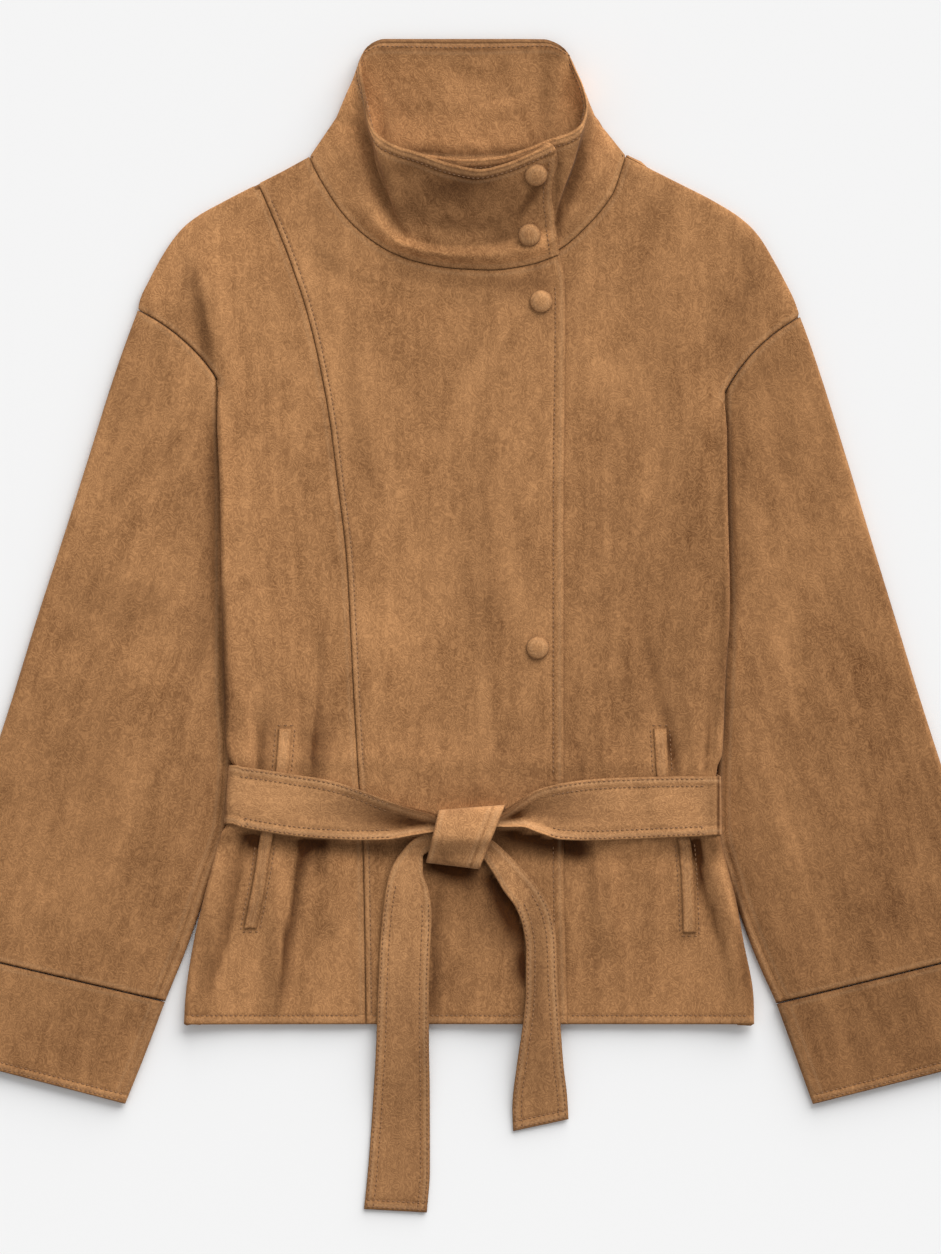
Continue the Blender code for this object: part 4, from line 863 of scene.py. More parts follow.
FOLD_SHADES = creases(  # painted shade in the lee of each fold, under the belt, beside the hanging ends and below the collar
    # below the belt's lower edge
    (-0.5, 2, 15, (-184, 148), (-150, 143), (-110, 138), (-70, 136), (-28, 141)),
    (-0.4, 2, 24, (-182, 146), (-160, 141), (-144, 140)),
    (-0.46, 2, 36, (-130, 139), (-116, 138), (-102, 137)),
    (-0.7, 2, 22, (-44, 138), (-26, 132), (-8, 120), (10, 116)),
    (-0.95, 2, 22, (14, 146), (40, 144), (64, 139), (96, 137)),
    (-0.5, 2, 24, (152, 139), (166, 139), (192, 140)),
    (-0.34, 5, 9, (200, 84), (209, 44), (213, 4)),
    # right side above the belt
    (-0.34, 7, 2.2, (-111.5, 300), (-112.5, 243), (-116.4, 209), (-117.5, 174)),
    (-0.26, 20, 20, (-116, 224), (-118, 200), (-118, 174)),
    (-0.26, 11, 2, (-157, 232), (-157.2, 212), (-157.5, 176)),
    # right side below the belt
    (-0.66, 12, 1.6, (-124, 148), (-126, 132), (-133, 88.9), (-141.5, 33), (-143.5, 6)),
    (-0.12, 9, 8, (-143, 84), (-147, 40), (-149, 2)),
    (-0.46, 1.8, 15, (-166, 148), (-171, 112), (-179, 68), (-190, 33), (-194, 16)),
    (-0.28, 1.6, 5, (-153.6, 142), (-158.6, 110), (-165, 84), (-168, 72)),
    # left side above the belt
    (-0.34, 3, 11, (149.5, 224), (153, 206), (158, 182)),
    (-0.46, 1.6, 3.5, (184, 262), (182, 226), (180.6, 209), (179, 182)),
    (-0.24, 3, 3, (84.8, 216), (84.6, 200), (85.2, 182)),
    # left side below the belt
    (-0.5, 2, 8, (172, 146), (177.5, 108), (186, 78), (194, 48)),
    (-0.42, 5, 3, (189, 146), (198, 104), (207, 68)),
    (-0.28, 2.5, 8, (94.5, 140), (95.5, 120), (97.2, 76)),
    # beside the hanging ends
    (-0.42, 14, 1, (-26, 112), (-26, 82), (-28, 40), (-29, -10)),
    (-0.8, 1, 19, (14, 118), (26, 104), (38, 84), (44, 56), (43, 26)),
    (-0.4, 1, 11, (43.5, 56), (43, 20), (41, -8)),
    (-0.22, 8, 1, (66, 92), (68, 60), (69, 10)),
    # side folds
    (-0.2, 6, 7, (-184, 330), (-183, 280), (-181, 220)),
    (-0.36, 9, 5, (-186, 340), (-183, 260), (-178, 190)),
    (-0.42, 2.5, 15, (-206, 580), (-200, 546), (-194.3, 517), (-190, 484)),
    (-0.22, 9, 7, (206, 596), (209, 566), (202, 524)),
    (-0.18, 11, 11, (-86, 486), (-79, 438), (-68, 396)),
    (-0.34, 9, 8, (132, 300), (146, 240), (158, 185)),
    # below the neck seam
    (-0.24, 10, 10, (-70, 572), (-36, 561), (0, 556), (36, 556), (66, 560)),
    (-0.22, 7, 6, (193, 340), (193, 290), (190, 220)),
)


def front_tone(x, y):
    """Tone of the fronts: their patches of painted light and shade and of the hide's own tone, and the
    painted shade beside each fold.
    """
    return tone_of(FRONT_PATCHES, x, y) + rise_of(FOLD_SHADES, x, y)


print(len(FRONT_PATCHES), "patches and", len(FOLD_SHADES), "fold shades on the fronts")

# %% Right front, side panel
def princess_x(offset):
    return lambda y: along_seam(PRINCESS, y) + offset


def build_right_side():
    shoulder = read_rungs(RIGHT_SHOULDER, np.linspace(0, rung_travel(RIGHT_SHOULDER)[-1], 30))
    seam = princess_x(-SEAM / 2)
    shoulder[:, 2] = seam(shoulder[:, 3])
    rungs, tuck = side_rungs("right", seam, LEVELS, (487, 500, 514, 529, 544, 559),
                             shoulder, 466)
    grid = front_grid(rungs, tuck, panel_shares(120, PLAIN_EDGE), front_height, "right")
    x, y = grid[..., 0], grid[..., 1]
    to_princess = distance_to(thinned(np.stack([seam(rungs[:, 3]), rungs[:, 3]], axis=1)), x, y)
    to_armhole = distance_to(armhole_line("right"), x, y)
    from_hem = np.abs(y - HEM_Y)
    grid[..., 2] += rolled_down(to_princess, 2, 0.8) + rolled_down(to_armhole, 2.6, 1.3)
    grid[..., 2] += hem_form(from_hem)
    edge = np.minimum(np.minimum(to_princess, to_armhole), from_hem)
    tone = front_tone(x, y) + hem_tone(from_hem) + seam_shade(to_armhole - 0.4)
    return skin("suede_front_right_side", grid, SUEDE, "suede", edge, tone, 2)


front_right_side = build_right_side()
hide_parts("front_right_side")

# %% Neck seam of the fronts
NECK_MIDDLE_Y = 660
# base x y, bend x y z, rim x y z, roll, belly: from the overlap round the back to the underlap
COLLAR = [
    (68.6, 577, 65.2, 600, 14, 64, 660.4, 33, 3.5, 0),
    (45, 569.2, 44, 592, 13, 45, 651.4, 34, 4.5, -1),
    (18, 565.6, 18, 586, 12.4, 27, 643.9, 35.5, 5, -2),
    (-9, 566.8, -7, 584, 12, 9, 640.1, 36, 5, -2),
    (-33, 570.6, -28, 586, 11.6, -14, 644.5, 36, 5.5, -2),
    (-55, 577.8, -45, 591, 11.6, -38, 653, 35, 5.5, -1),
    (-76.5, 591, -53.5, 602, 12, -56.2, 658.9, 33.5, 5, 2),
    (-94.5, 608.8, -61.5, 623, 12.5, -71.2, 670.1, 32, 4, 3),
    (-108, 629, -69.5, 648, 12, -76.5, 685.1, 30, 3.5, 3),
    (-114.6, 641, -80, 670, 10, -78.3, 700, 26, 2.5, 1.5),
    (-118.7, 650.6, -99, 679, 5.5, -80.7, 721, 14, 0, 0),
    (-112, 652.4, -93.5, 685, 1, -76, 733, 7, 0, 0),
    (-95, 653, -84, 692, 0, -63, 739, 5, 0, 0),
    (-50, 650.4, -44, 697, 0, -32, 739, 4.4, 0, 0),
    (0, 648.4, 0, 698, 0, -2, 739, 4.4, 0, 0),
    (50, 650.4, 44, 697, 0, 29, 739, 4.4, 0, 0),
    (94, 653, 84, 690, 0, 57, 738.8, 5, 0, 0),
    (111.4, 653, 92.5, 682, 1, 72.4, 732, 7, 0, 0),
    (118.2, 651.4, 97.6, 676, 5.5, 79.6, 718, 14, 0, 0),
    (114.4, 639, 93, 664, 9.5, 86.5, 702, 24, 2, 0.5),
    (109, 624, 84.6, 651, 11.5, 89.2, 688, 28, 3, 2.5),
    (101, 612, 78.6, 634, 11.5, 86.5, 676.5, 30, 3.5, 2.5),
    (87, 596.6, 71.5, 615, 11, 77, 668, 30.5, 3, 1),
    (72, 583.4, 62, 602, 9, 62, 663.4, 29.5, 2, 0),
    (45, 569.8, 43, 594, 8.4, 45, 656.4, 29, 2, -1),
    (18, 566.2, 18, 590, 8, 22, 649.8, 29.5, 2, -1.5),
    (-9, 567.4, -6, 588, 7.6, -2, 648.2, 29.5, 2, -1.5),
    (-28, 570.6, -23, 590, 7.6, -32, 651.4, 29, 2, -1.5),
]
FIRST_BACK, LAST_BACK, HIDDEN_NECK = 11, 17, 25


def neck_edge(first, last, shares):
    """Places along the neck seam of a front, between two of the collar's stations."""
    base = np.array(COLLAR)[first:last + 1, :2]
    travel = travelled(base)
    places = np.stack([soft_curve(travel, base[:, i], shares * travel[-1]) for i in range(2)], axis=1)
    away = places - (0, NECK_MIDDLE_Y)
    return places + away / np.linalg.norm(away, axis=1, keepdims=True) * NECK_SEAM


def up_to_neck(grid, neck, height):
    """A front's grid with rows added from its last one up to the neck seam."""
    last = grid[-1, :, :2]
    steps = spaced(1, 0.25, (0, 0.12, 0.24), (0, 0.05, 0.1, 0.16, 0.23, 0.31))[1:]
    rows = []
    for step in steps:
        places = last * (1 - step) + neck * step
        rows.append(np.dstack([places[None], height(places[None, :, 0], places[None, :, 1])]))
    return np.concatenate([grid] + rows, axis=0)


print("neck seam of the right front:",
      round(travelled(neck_edge(0, FIRST_BACK - 1, np.linspace(0, 1, 40)))[-1]), "mm")

# %% Right front, centre panel
def build_right_centre():
    seam = princess_x(SEAM / 2)
    levels = np.concatenate([LEVELS, np.arange(449, 466.5, 3.4)])
    body = np.stack([seam(levels), levels, along_seam(FRONT_EDGE, levels), levels,
                     np.zeros(len(levels))], axis=1)
    upper = np.concatenate([body[-1:], RIGHT_NECK])
    outer_y = np.arange(469, 628, 3.3)
    chest = np.stack([soft_curve(upper[:, 1], column, outer_y) for column in upper.T], axis=1)
    chest[:, 0] = seam(chest[:, 1])
    rungs = fill_in(np.concatenate([body, chest, RIGHT_NECK[-3:-1]]), RUNG_STEP)
    rungs = on_shoulder(rungs, "right", "centre")
    places = rung_points(rungs, panel_shares(150))
    grid = np.dstack([places, lapped_height(places[..., 0], places[..., 1])])
    last = travelled(grid[-1])
    neck = neck_edge(0, FIRST_BACK - 1, 1 - last / last[-1])
    grid = up_to_neck(grid, neck, lapped_height)
    x, y = grid[..., 0], grid[..., 1]
    seam_line = np.stack([seam(rungs[:, 1]), rungs[:, 1]], axis=1)[rungs[:, 1] < 628]
    to_princess = distance_to(thinned(seam_line), x, y)
    to_lap = distance_to(thinned(grid[:, -1]), x, y)
    to_neck = distance_to(thinned(grid[-1]), x, y)
    from_hem = np.abs(y - HEM_Y)
    grid[..., 2] += rolled_down(to_princess, 2, 0.8) + stitched_row(to_princess, PRINCESS_ROW, 0.35)
    grid[..., 2] += rolled_down(to_lap, 1.8, 0.9) + stitched_row(to_lap, LAP_ROW)
    grid[..., 2] += rolled_down(to_neck, 1.8, 0.5)
    grid[..., 2] += hem_form(from_hem)
    edge = np.min([to_princess, to_lap, to_neck, from_hem], axis=0)
    tone = (front_tone(x, y) + hem_tone(from_hem) + stitch_shade(to_lap, LAP_ROW)
            + stitch_shade(to_princess, PRINCESS_ROW))
    return skin("suede_front_right_centre", grid, SUEDE, "suede", edge, tone, -1)


front_right_centre = build_right_centre()
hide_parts("front_right_centre")

# %% Left front
NECK_SHARE = 0.875        # the share of the shoulder's rungs that lies below the neck seam


def build_left_front():
    def hidden_edge(y):
        return along_seam(FRONT_EDGE, y) - LAP
    top = rung_travel(LEFT_SHOULDER)[-1] * NECK_SHARE
    shoulder = read_rungs(LEFT_SHOULDER, np.linspace(0, top, 40))
    rungs, tuck = side_rungs("left", hidden_edge, LEVELS, (462, 470, 477, 484, 491, 499),
                             shoulder, 458)
    grid = front_grid(rungs, tuck, panel_shares(160, PLAIN_EDGE, PLAIN_EDGE), front_height, "left")
    last = travelled(grid[-1])
    neck = neck_edge(LAST_BACK + 1, HIDDEN_NECK, last / last[-1])
    grid = up_to_neck(grid, neck, front_height)
    x, y = grid[..., 0], grid[..., 1]
    to_armhole = distance_to(armhole_line("left"), x, y)
    to_neck = distance_to(thinned(grid[-1]), x, y)
    from_hem = np.abs(y - HEM_Y)
    grid[..., 2] += rolled_down(to_armhole, 2.6, 1.3) + rolled_down(to_neck, 1.8, 0.5)
    grid[..., 2] += hem_form(from_hem)
    edge = np.min([to_armhole, to_neck, from_hem], axis=0)
    tone = front_tone(x, y) + hem_tone(from_hem) + seam_shade(to_armhole - 0.4) - 0.09
    return skin("suede_front_left", grid[:, ::-1], SUEDE, "suede", edge[:, ::-1], tone[:, ::-1], -3)


front_left = build_left_front()
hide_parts("front_left")

# %% [markdown]
# ## Sleeves and cuffs
#
# A sleeve lies as a flattened tube: level below, a slight crown above and a round fold at
# each side. It is a ring of points carried along the arm. The cuff is a second, fuller tube.
# The sleeve's own seam runs close to the inner fold.

# %% Sleeve and cuff tables
RIGHT_SLEEVE = [
    (-255.8, 513.4, -184.6, 446, -4), (-266.2, 483.4, -182.4, 405, -2),
    (-285, 423.4, -181.2, 352, 0), (-304, 363.4, -180.4, 300, 0),
    (-323.5, 303.4, -179.8, 251, 0), (-342, 243.4, -176.6, 204, 0),
    (-360, 188, -180, 150, 0), (-375.5, 140, -193.4, 108, 0),
    (-389.5, 97, -210.6, 58, 0), (-401.5, 58.5, -227, 17.5, 0),
]
LEFT_SLEEVE = [
    (255.4, 513.4, 191.4, 438, 4), (265.5, 483.4, 190.6, 400, 2),
    (284.2, 423.4, 191.6, 350, 0), (302.4, 363.4, 192.6, 303, 0),
    (320.8, 303.4, 190.6, 252, 0), (339.2, 243.4, 187.4, 206, 0),
    (358, 185, 186, 146, 0), (373.5, 138, 196.8, 104, 0),
    (388, 95, 213.6, 56, 0), (400.5, 57.5, 231.2, 16, 0),
]
CUFF_ROWS = {
    "right": [(-401.8, 57.9, -227.2, 16.9, 0), (-413, 18, -242, -22, 0),
              (-423.5, -16, -257, -59.4, 0)],
    "left": [(400.8, 56.9, 231.4, 15.4, 0), (412.6, 18, 245, -22, 0),
             (423.5, -18, 258.6, -59.6, 0)],
}
SLEEVE_CREASES = creases(
    (-0.9, 12, 15, (-236, 520), (-230, 452), (-242, 392)),
    (1, 14, 16, (-212, 470), (-206, 400), (-214, 330)),
    (0.8, 20, 18, (-262, 440), (-282, 360), (-292, 290)),
    (-0.9, 20, 16, (-230, 330), (-250, 250), (-262, 180)),
    (-0.8, 18, 22, (-300, 260), (-322, 180), (-336, 110)),
    (1, 14, 14, (-206, 236), (-226, 170), (-238, 110)),
    (0.9, 18, 14, (-268, 170), (-290, 110), (-300, 60)),
    (-0.9, 12, 15, (238, 512), (236, 446), (246, 380)),
    (1, 12, 16, (214, 452), (212, 380), (222, 310)),
    (0.8, 22, 18, (268, 430), (286, 350), (300, 270)),
    (-0.9, 18, 20, (236, 320), (252, 240), (268, 170)),
    (-0.8, 22, 18, (306, 250), (326, 176), (338, 100)),
    (1, 13, 15, (214, 220), (232, 150), (246, 90)),
    (0.8, 16, 18, (274, 160), (294, 104), (306, 52)),
    (0.6, 14, 14, (-340, 48), (-350, 10), (-357, -28)),
    (0.6, 14, 14, (330, 42), (342, 6), (350, -30)),
)

print(len(RIGHT_SLEEVE), "and", len(LEFT_SLEEVE), "rungs of the sleeves,", len(SLEEVE_CREASES), "creases")

# %% Rings of a tube
TUBE_POINTS, TUBE_CROWN = 52, 0.9       # points across the top, and how much it swells
UNDERSEAM_IN = 6                      # how far the seam lies in from the inner fold


def tube_ring(run, thick):
    """Shares and heights round a flattened tube, for each rung, and how many points are on top."""
    half = thick / 2
    turns = np.linspace(0, math.pi / 2, 7)
    end_shares = half * (1 - np.sin(turns))[None, :] / run[:, None]
    level = end_shares[:, :1]
    middle = level + (1 - 2 * level) * np.linspace(0, 1, TUBE_POINTS)[None, 1:-1]
    lift = np.cos(turns)
    upper = np.concatenate([end_shares[:, ::-1], middle, 1 - end_shares], axis=1)
    crown = TUBE_CROWN * np.sin(math.pi * middle)
    rows = len(run)
    upper_z = np.concatenate([np.tile(half + half * lift[::-1], (rows, 1)), thick + crown,
                              np.tile(half + half * lift, (rows, 1))], axis=1)
    few = slice(1, -1, 3)
    lower = np.concatenate([1 - end_shares[:, ::-1][:, 1:-1], 1 - level, middle[:, ::-1][:, few],
                            level, end_shares[:, 1:-1]], axis=1)
    lower_z = np.concatenate([half - half * lift[::-1][1:-1], [0], np.zeros(middle[:, few].shape[1]),
                              [0], half - half * lift[1:-1]])
    return (np.concatenate([upper, lower], axis=1),
            np.concatenate([upper_z, np.tile(lower_z, (rows, 1))], axis=1), upper.shape[1])


def tube_grid(rungs, thick, tuck):
    """Rings of a flattened tube over these rungs; tuck thins its inner fold."""
    run = np.hypot(rungs[:, 2] - rungs[:, 0], rungs[:, 3] - rungs[:, 1])
    shares, heights, tops = tube_ring(run, thick)
    run_x, run_y = (rungs[:, 2] - rungs[:, 0])[:, None], (rungs[:, 3] - rungs[:, 1])[:, None]
    bend = rungs[:, 4:5] * 4 * shares * (1 - shares) / run[:, None]
    x = rungs[:, 0:1] + run_x * shares + run_y * bend
    y = rungs[:, 1:2] + run_y * shares - run_x * bend
    heights = heights * (1 - tuck[:, None] * smooth_step((shares - 0.86) / 0.1))
    return np.dstack([x, y, heights]), tops


print("each ring of a sleeve has", tube_ring(np.array([170]), SLEEVE_THICK)[0].shape[1], "points")

# %% Sleeves
def add_creases(grid, upper, folds, hills=0.25):
    """Creases and soft hills on the upper side of a tube, fading out at its folds."""
    x, y, z = grid[..., 0], grid[..., 1], grid[..., 2]
    rise = rise_of(folds, x, y)
    rise = rise + hills * soft_hills(x, y, 30, 11) + 0.5 * hills * soft_hills(x, y, 12, 12)
    grid[..., 2] = z + np.where(upper, rise, 0) * smooth_step((z - 4.5) / 2.5)


# patches of painted light and shade, and of the hide's own tone
SLEEVE_PATCHES = {  # x, y, half width, half height, tone
    "right": [
        (-250, 330, 26, 150, 0.05), (-196, 400, 12, 80, -0.1), (-222, 486, 22, 20, 0.08),
        (-336, 206, 14, 40, -0.14), (-276, 176, 18, 70, -0.14), (-258, 450, 16, 50, -0.18),
        (-262, 318, 40, 26, -0.28), (-231, 258, 14, 34, 0.1), (-198, 296, 6, 26, -0.26),
        (-238, 480, 10, 26, -0.16), (-238, 551, 24, 20, 0.12), (-300, 190, 50, 70, -0.06),
    ],
    "left": [
        (262, 330, 26, 150, 0.04), (202, 400, 12, 80, -0.1), (226, 486, 26, 14, -0.12),
        (271, 446, 14, 60, -0.13), (294, 318, 24, 34, -0.12), (226, 303, 10, 30, -0.14),
        (294, 273, 20, 20, 0.1), (238, 440, 14, 40, -0.12), (256, 352, 14, 12, -0.12),
        (201, 278, 7, 28, 0.48), (234, 548, 14, 24, 0.12),
    ],
}
SLEEVE_SHADES = {  # painted shade of the body's edge, where the sleeve goes in under it
    "right": creases(
        (-0.42, 1.2, 11, (-188, 474), (-188.5, 393), (-187.5, 330), (-184.5, 288), (-177.5, 198))),
    "left": creases(
        (-0.6, 10, 1.2, (191.6, 470), (192.6, 393), (194.6, 300), (191.5, 240), (187.6, 195), (190, 148)),
        (-0.4, 5, 1.2, (193, 140), (199.8, 108), (205, 78), (211, 50))),
}


SLEEVE_TONE, CUFF_TONE = {"right": -0.04, "left": -0.14}, {"right": -0.2, "left": -0.36}
SEAM_TONE, CUFF_SEAM_TONE = 0.1, 0.12


def build_sleeve(side):
    table = [ARMHOLE[side]] + (RIGHT_SLEEVE if side == "right" else LEFT_SLEEVE)
    length = rung_travel(table)[-1]
    rungs = read_rungs(table, spaced(length, RUNG_STEP, SEWN_EDGE[:10], SEWN_EDGE[:8]))
    tuck = SLEEVE_TUCK * np.minimum(1, rung_travel(rungs) / 36)
    grid, tops = tube_grid(rungs, SLEEVE_THICK, tuck)
    upper = np.arange(grid.shape[1])[None, :] < tops
    add_creases(grid, upper, SLEEVE_CREASES)
    x, y = grid[..., 0], grid[..., 1]
    to_armhole = distance_to(armhole_line(side), x, y)
    to_cuff = distance_to([rungs[-1, :2], rungs[-1, 2:4]], x, y)
    seam_line = rung_points(rungs, [1 - UNDERSEAM_IN / 150])[:, 0]
    to_underseam = distance_to(thinned(seam_line, 4), x, y)
    dip = (rolled_down(to_armhole, 2.6, 1.5) + rolled_down(to_cuff, 2.2, 1.2)
           - 0.9 * hump(to_underseam / 1.8))
    grid[..., 2] += np.where(upper, dip, 0)
    edge = np.min([to_armhole, to_cuff, np.where(upper, to_underseam + 0.3, 99)], axis=0)
    if side == "left":
        grid, edge = grid[:, ::-1], edge[:, ::-1]
        to_armhole, to_cuff = to_armhole[:, ::-1], to_cuff[:, ::-1]
    low_down = smooth_step((330 - grid[..., 1]) / 250)
    tone = SLEEVE_TONE[side] - 0.14 * low_down
    tone = tone + seam_shade(to_armhole, SEAM_TONE) + seam_shade(to_cuff, CUFF_SEAM_TONE)
    x, y = grid[..., 0], grid[..., 1]
    tone = tone + tone_of(SLEEVE_PATCHES[side], x, y) + rise_of(SLEEVE_SHADES[side], x, y)
    grain = -16 if side == "right" else 16
    return skin("suede_sleeve_" + side, grid[::-1], SUEDE, "suede", edge[::-1], tone[::-1], grain, True)


sleeves = {side: build_sleeve(side) for side in ("right", "left")}
for side, piece in sleeves.items():
    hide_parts("sleeve_" + side)

# %% Cuffs
def build_cuff(side):
    table = CUFF_ROWS[side]
    length = rung_travel(table)[-1]
    rungs = read_rungs(table, spaced(length, RUNG_STEP, SEWN_EDGE[:8], SEWN_EDGE))
    grid, tops = tube_grid(rungs, CUFF_THICK, np.zeros(len(rungs)))
    grid[..., 2] *= (1 - 0.34 * rung_travel(rungs) / length)[:, None]
    upper = np.arange(grid.shape[1])[None, :] < tops
    add_creases(grid, upper, SLEEVE_CREASES[-2:], 0.2)
    x, y = grid[..., 0], grid[..., 1]
    to_seam = distance_to([rungs[0, :2], rungs[0, 2:4]], x, y)
    to_end = distance_to([rungs[-1, :2], rungs[-1, 2:4]], x, y)
    seam_line = rung_points(rungs, [1 - UNDERSEAM_IN / 170])[:, 0]
    to_underseam = distance_to(thinned(seam_line, 4), x, y)
    outer_row, inner_row = CUFF_STITCHES
    dip = (rolled_down(to_seam, 2.2, 0.6) + rolled_down(to_end, 1.6, 0.8)
           + stitched_row(to_end, outer_row, 0.3) + stitched_row(to_end, inner_row, 0.45)
           - 0.9 * hump(to_underseam / 1.8))
    grid[..., 2] += np.where(upper, dip, 0)
    edge = np.min([to_seam, to_end, np.where(upper, to_underseam + 0.3, 99)], axis=0)
    tone = CUFF_TONE[side] + seam_shade(to_seam, SEAM_TONE) + stitch_shade(to_end, *CUFF_STITCHES)
    tone = tone + 0.16 * smooth_step((11 - to_end) / 4)
    if side == "left":
        grid, edge, tone = grid[:, ::-1], edge[:, ::-1], tone[:, ::-1]
    grain = -14 if side == "right" else 14
    return skin("suede_cuff_" + side, grid[::-1], SUEDE, "suede", edge[::-1], tone[::-1], grain, True)


cuffs = {side: build_cuff(side) for side in ("right", "left")}
for side, piece in cuffs.items():
    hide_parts("cuff_" + side)

# %% [markdown]
# ## The funnel collar
#
# The collar is one strip sewn round the neck. In front it stands up as a tube whose ends lap
# over each other, and at the back it lies down flat, so its inside shows there. It is read
# from stations round the neck: where it is sewn, where it bends up, and where its rim is.

# %% Collar form
def collar_base(index, x, y):
    """Height of the collar's outer face at its seam, by where the station lies."""
    if index in (FIRST_BACK, LAST_BACK):
        return 0
    if FIRST_BACK < index < LAST_BACK:
        return SUEDE + 0.15
    if index in (FIRST_BACK - 1, LAST_BACK + 1):
        return 2 * SUEDE + SEAM
    return float((lapped_height if index < FIRST_BACK else front_height)(x, y, False))


def collar_grid(around, levels):
    """The collar as rows of points from its seam (level 0) past its bend (1) to its rim (2)."""
    table = np.array(COLLAR)
    base_z = [collar_base(i, row[0], row[1]) for i, row in enumerate(COLLAR)]
    travel = 0.5 * (travelled(table[:, 5:7]) + travelled(table[:, 2:4]))
    where = around * travel[-1]
    read = np.stack([soft_curve(travel, column, where) for column in table.T], axis=1)
    base = np.concatenate([read[:, 0:2], soft_curve(travel, base_z, where)[:, None]], axis=1)
    bend, rim, roll, belly = read[:, 2:5], read[:, 5:8], read[:, 8], read[:, 9]
    away = bend[:, :2] * 0.5 + rim[:, :2] * 0.5 - (0, NECK_MIDDLE_Y)
    away /= np.linalg.norm(away, axis=1, keepdims=True)
    rows = []
    for level in levels:
        if level <= 1:
            point = base + (bend - base) * level
            point[:, 2] = base[:, 2] + (bend[:, 2] - base[:, 2]) * smooth_step(level)
            point[:, 2] += roll * math.sin(math.pi * level) ** 2
        else:
            share = level - 1
            point = bend + (rim - bend) * share
            point[:, :2] += away * (belly * math.sin(math.pi * share))[:, None]
        rows.append(point)
    return np.array(rows)


print("collar stands on", len(COLLAR), "stations")

# %% Creases and tones of the collar
BAND = 8                # width of the stitched band along the rim
COLLAR_CREASES = creases(
    # where the standing tube ends and the flare beside it drops away
    (-2.4, 4, 12, (-80.5, 716), (-77, 678), (-70, 648), (-61.5, 618), (-54, 598), (-42, 585)),
    (2.2, 10, 4.5, (-76, 712), (-72, 676), (-64, 648), (-55.5, 620), (-48, 600)),
    (-3.4, 13, 4, (94, 696), (90.5, 680), (83, 648), (75, 626), (68, 606), (64, 590)),
    (1.8, 4.5, 8, (88, 692), (84, 674), (78, 650), (69, 626)),
    # creases of the standing front and of the flares
    (-1.8, 10, 9, (-52, 612), (-30, 600), (0, 594), (30, 597)),
    (0.9, 7, 7, (44, 606), (26, 594), (6, 586)),
    (-1, 8, 10, (-104, 660), (-92, 636), (-78, 612)),
    (1.3, 6, 7, (104, 664), (106, 648), (98, 626)),
)
INNER_CREASES = creases(  # in the part that lies flat at the back, so that its inside shows
    (1.2, 14, 12, (-62, 690), (-30, 694), (4, 686)),
    (-1.2, 12, 12, (-20, 716), (14, 708), (44, 712)),
    (1.2, 7, 11, (8, 684), (34, 690), (54, 702)),
    (1.8, 9, 3, (72, 722), (66, 694), (61, 664)),
    (1.6, 3, 7, (-63.5, 702), (-61, 686), (-59.5, 664)),
)
COLLAR_SHADES = creases(  # painted shade in the lee of each fold and below the rim, and a painted highlight on the roll above the neck seam
    (-0.26, 2.5, 11, (-80.5, 716), (-77, 678), (-69.5, 648), (-61, 618), (-53, 598), (-42, 585)),
    (-0.6, 9, 2.5, (93, 698), (90, 680), (82.5, 648), (74.5, 626), (67.5, 606), (63, 588)),
    (-0.35, 7, 1, (67.5, 662), (65.5, 640), (65.5, 610), (68.5, 580)),
    (-0.24, 4, 12, (-60, 662), (-42, 652), (-14, 641), (8, 637), (30, 643), (58, 654)),
    (0.34, 9, 7, (-84, 604), (-55, 583), (-20, 573), (20, 571.5), (64, 580)),
    (-0.46, 7, 7, (62, 638), (49.5, 623.6), (36, 602)),
)
# patches of painted light and shade, and of the hide's own tone
COLLAR_PATCHES = [  # x, y, half width, half height, tone
    (-30, 625, 40, 26, -0.22), (20, 620, 50, 22, -0.2), (-45, 607, 14, 12, -0.28),
    (-98, 652, 12, 40, 0.16), (-68, 600, 15, 18, 0.32), (100, 655, 12, 40, 0.08),
    (-88, 700, 9, 30, 0.5), (78, 697, 9, 30, 0.45), (59, 697, 6, 30, -0.32), (-70, 690, 8, 30, 0.14),
    (0, 672, 56, 16, 0.1), (0, 732, 90, 5, -0.34), (0, 712, 60, 8, 0.12), (-111, 612, 10, 14, -0.3),
    (-60, 668, 5, 24, -0.28), (80, 662, 5, 14, -0.25), (58, 581, 12, 12, 0.26), (-51, 586, 12, 8, 0.16),
    (-6, 624, 30, 10, -0.22), (-48, 641, 14, 6, -0.34), (-6, 629, 18, 5, -0.2), (54, 618, 8, 8, -0.18),
    (32, 607, 8, 8, -0.18), (34, 700, 12, 6, -0.12), (65, 727, 10, 5, -0.22), (-45, 716, 18, 8, 0.1),
    (-90, 708, 7, 24, 0.18), (86, 690, 5, 24, 0.25), (-92, 626, 8, 18, 0.14), (-20, 614, 50, 16, 0.08),
    (0, 660, 52, 6, 0.16), (-82, 618, 8, 16, 0.16), (-36, 607, 14, 9, 0.14), (39, 577, 20, 7, 0.14),
    (69, 607, 6, 10, 0.14), (24, 592, 9, 10, -0.38), (84, 663, 6, 10, -0.22), (-88, 708, 8, 24, 0.2),
    (80, 697, 8, 24, 0.15), (56, 585, 14, 10, 0.26), (-46, 590, 16, 9, 0.22),
]


print(len(COLLAR_PATCHES), "patches and", len(COLLAR_SHADES), "fold shades on the collar")

# %% The collar's own shape
COLLAR_STEP = 0.0042      # a share of the collar's length, about 2 mm
LAP_END = (0, 0.0008, 0.0018, 0.003, 0.0045, 0.006, 0.0078, 0.0098, 0.0122)
HIDDEN_END = (0, 0.0012, 0.003, 0.006)
AT_SEAM = np.array((0, 0.025, 0.055, 0.09, 0.13, 0.18))
AT_RIM = np.array((0, 0.012, 0.026, 0.042, 0.06, 0.08, 0.1, 0.12, 0.14, 0.165, 0.2))
LINING_SEAM_Y = 656.6     # the seam that shows inside the back of the neck


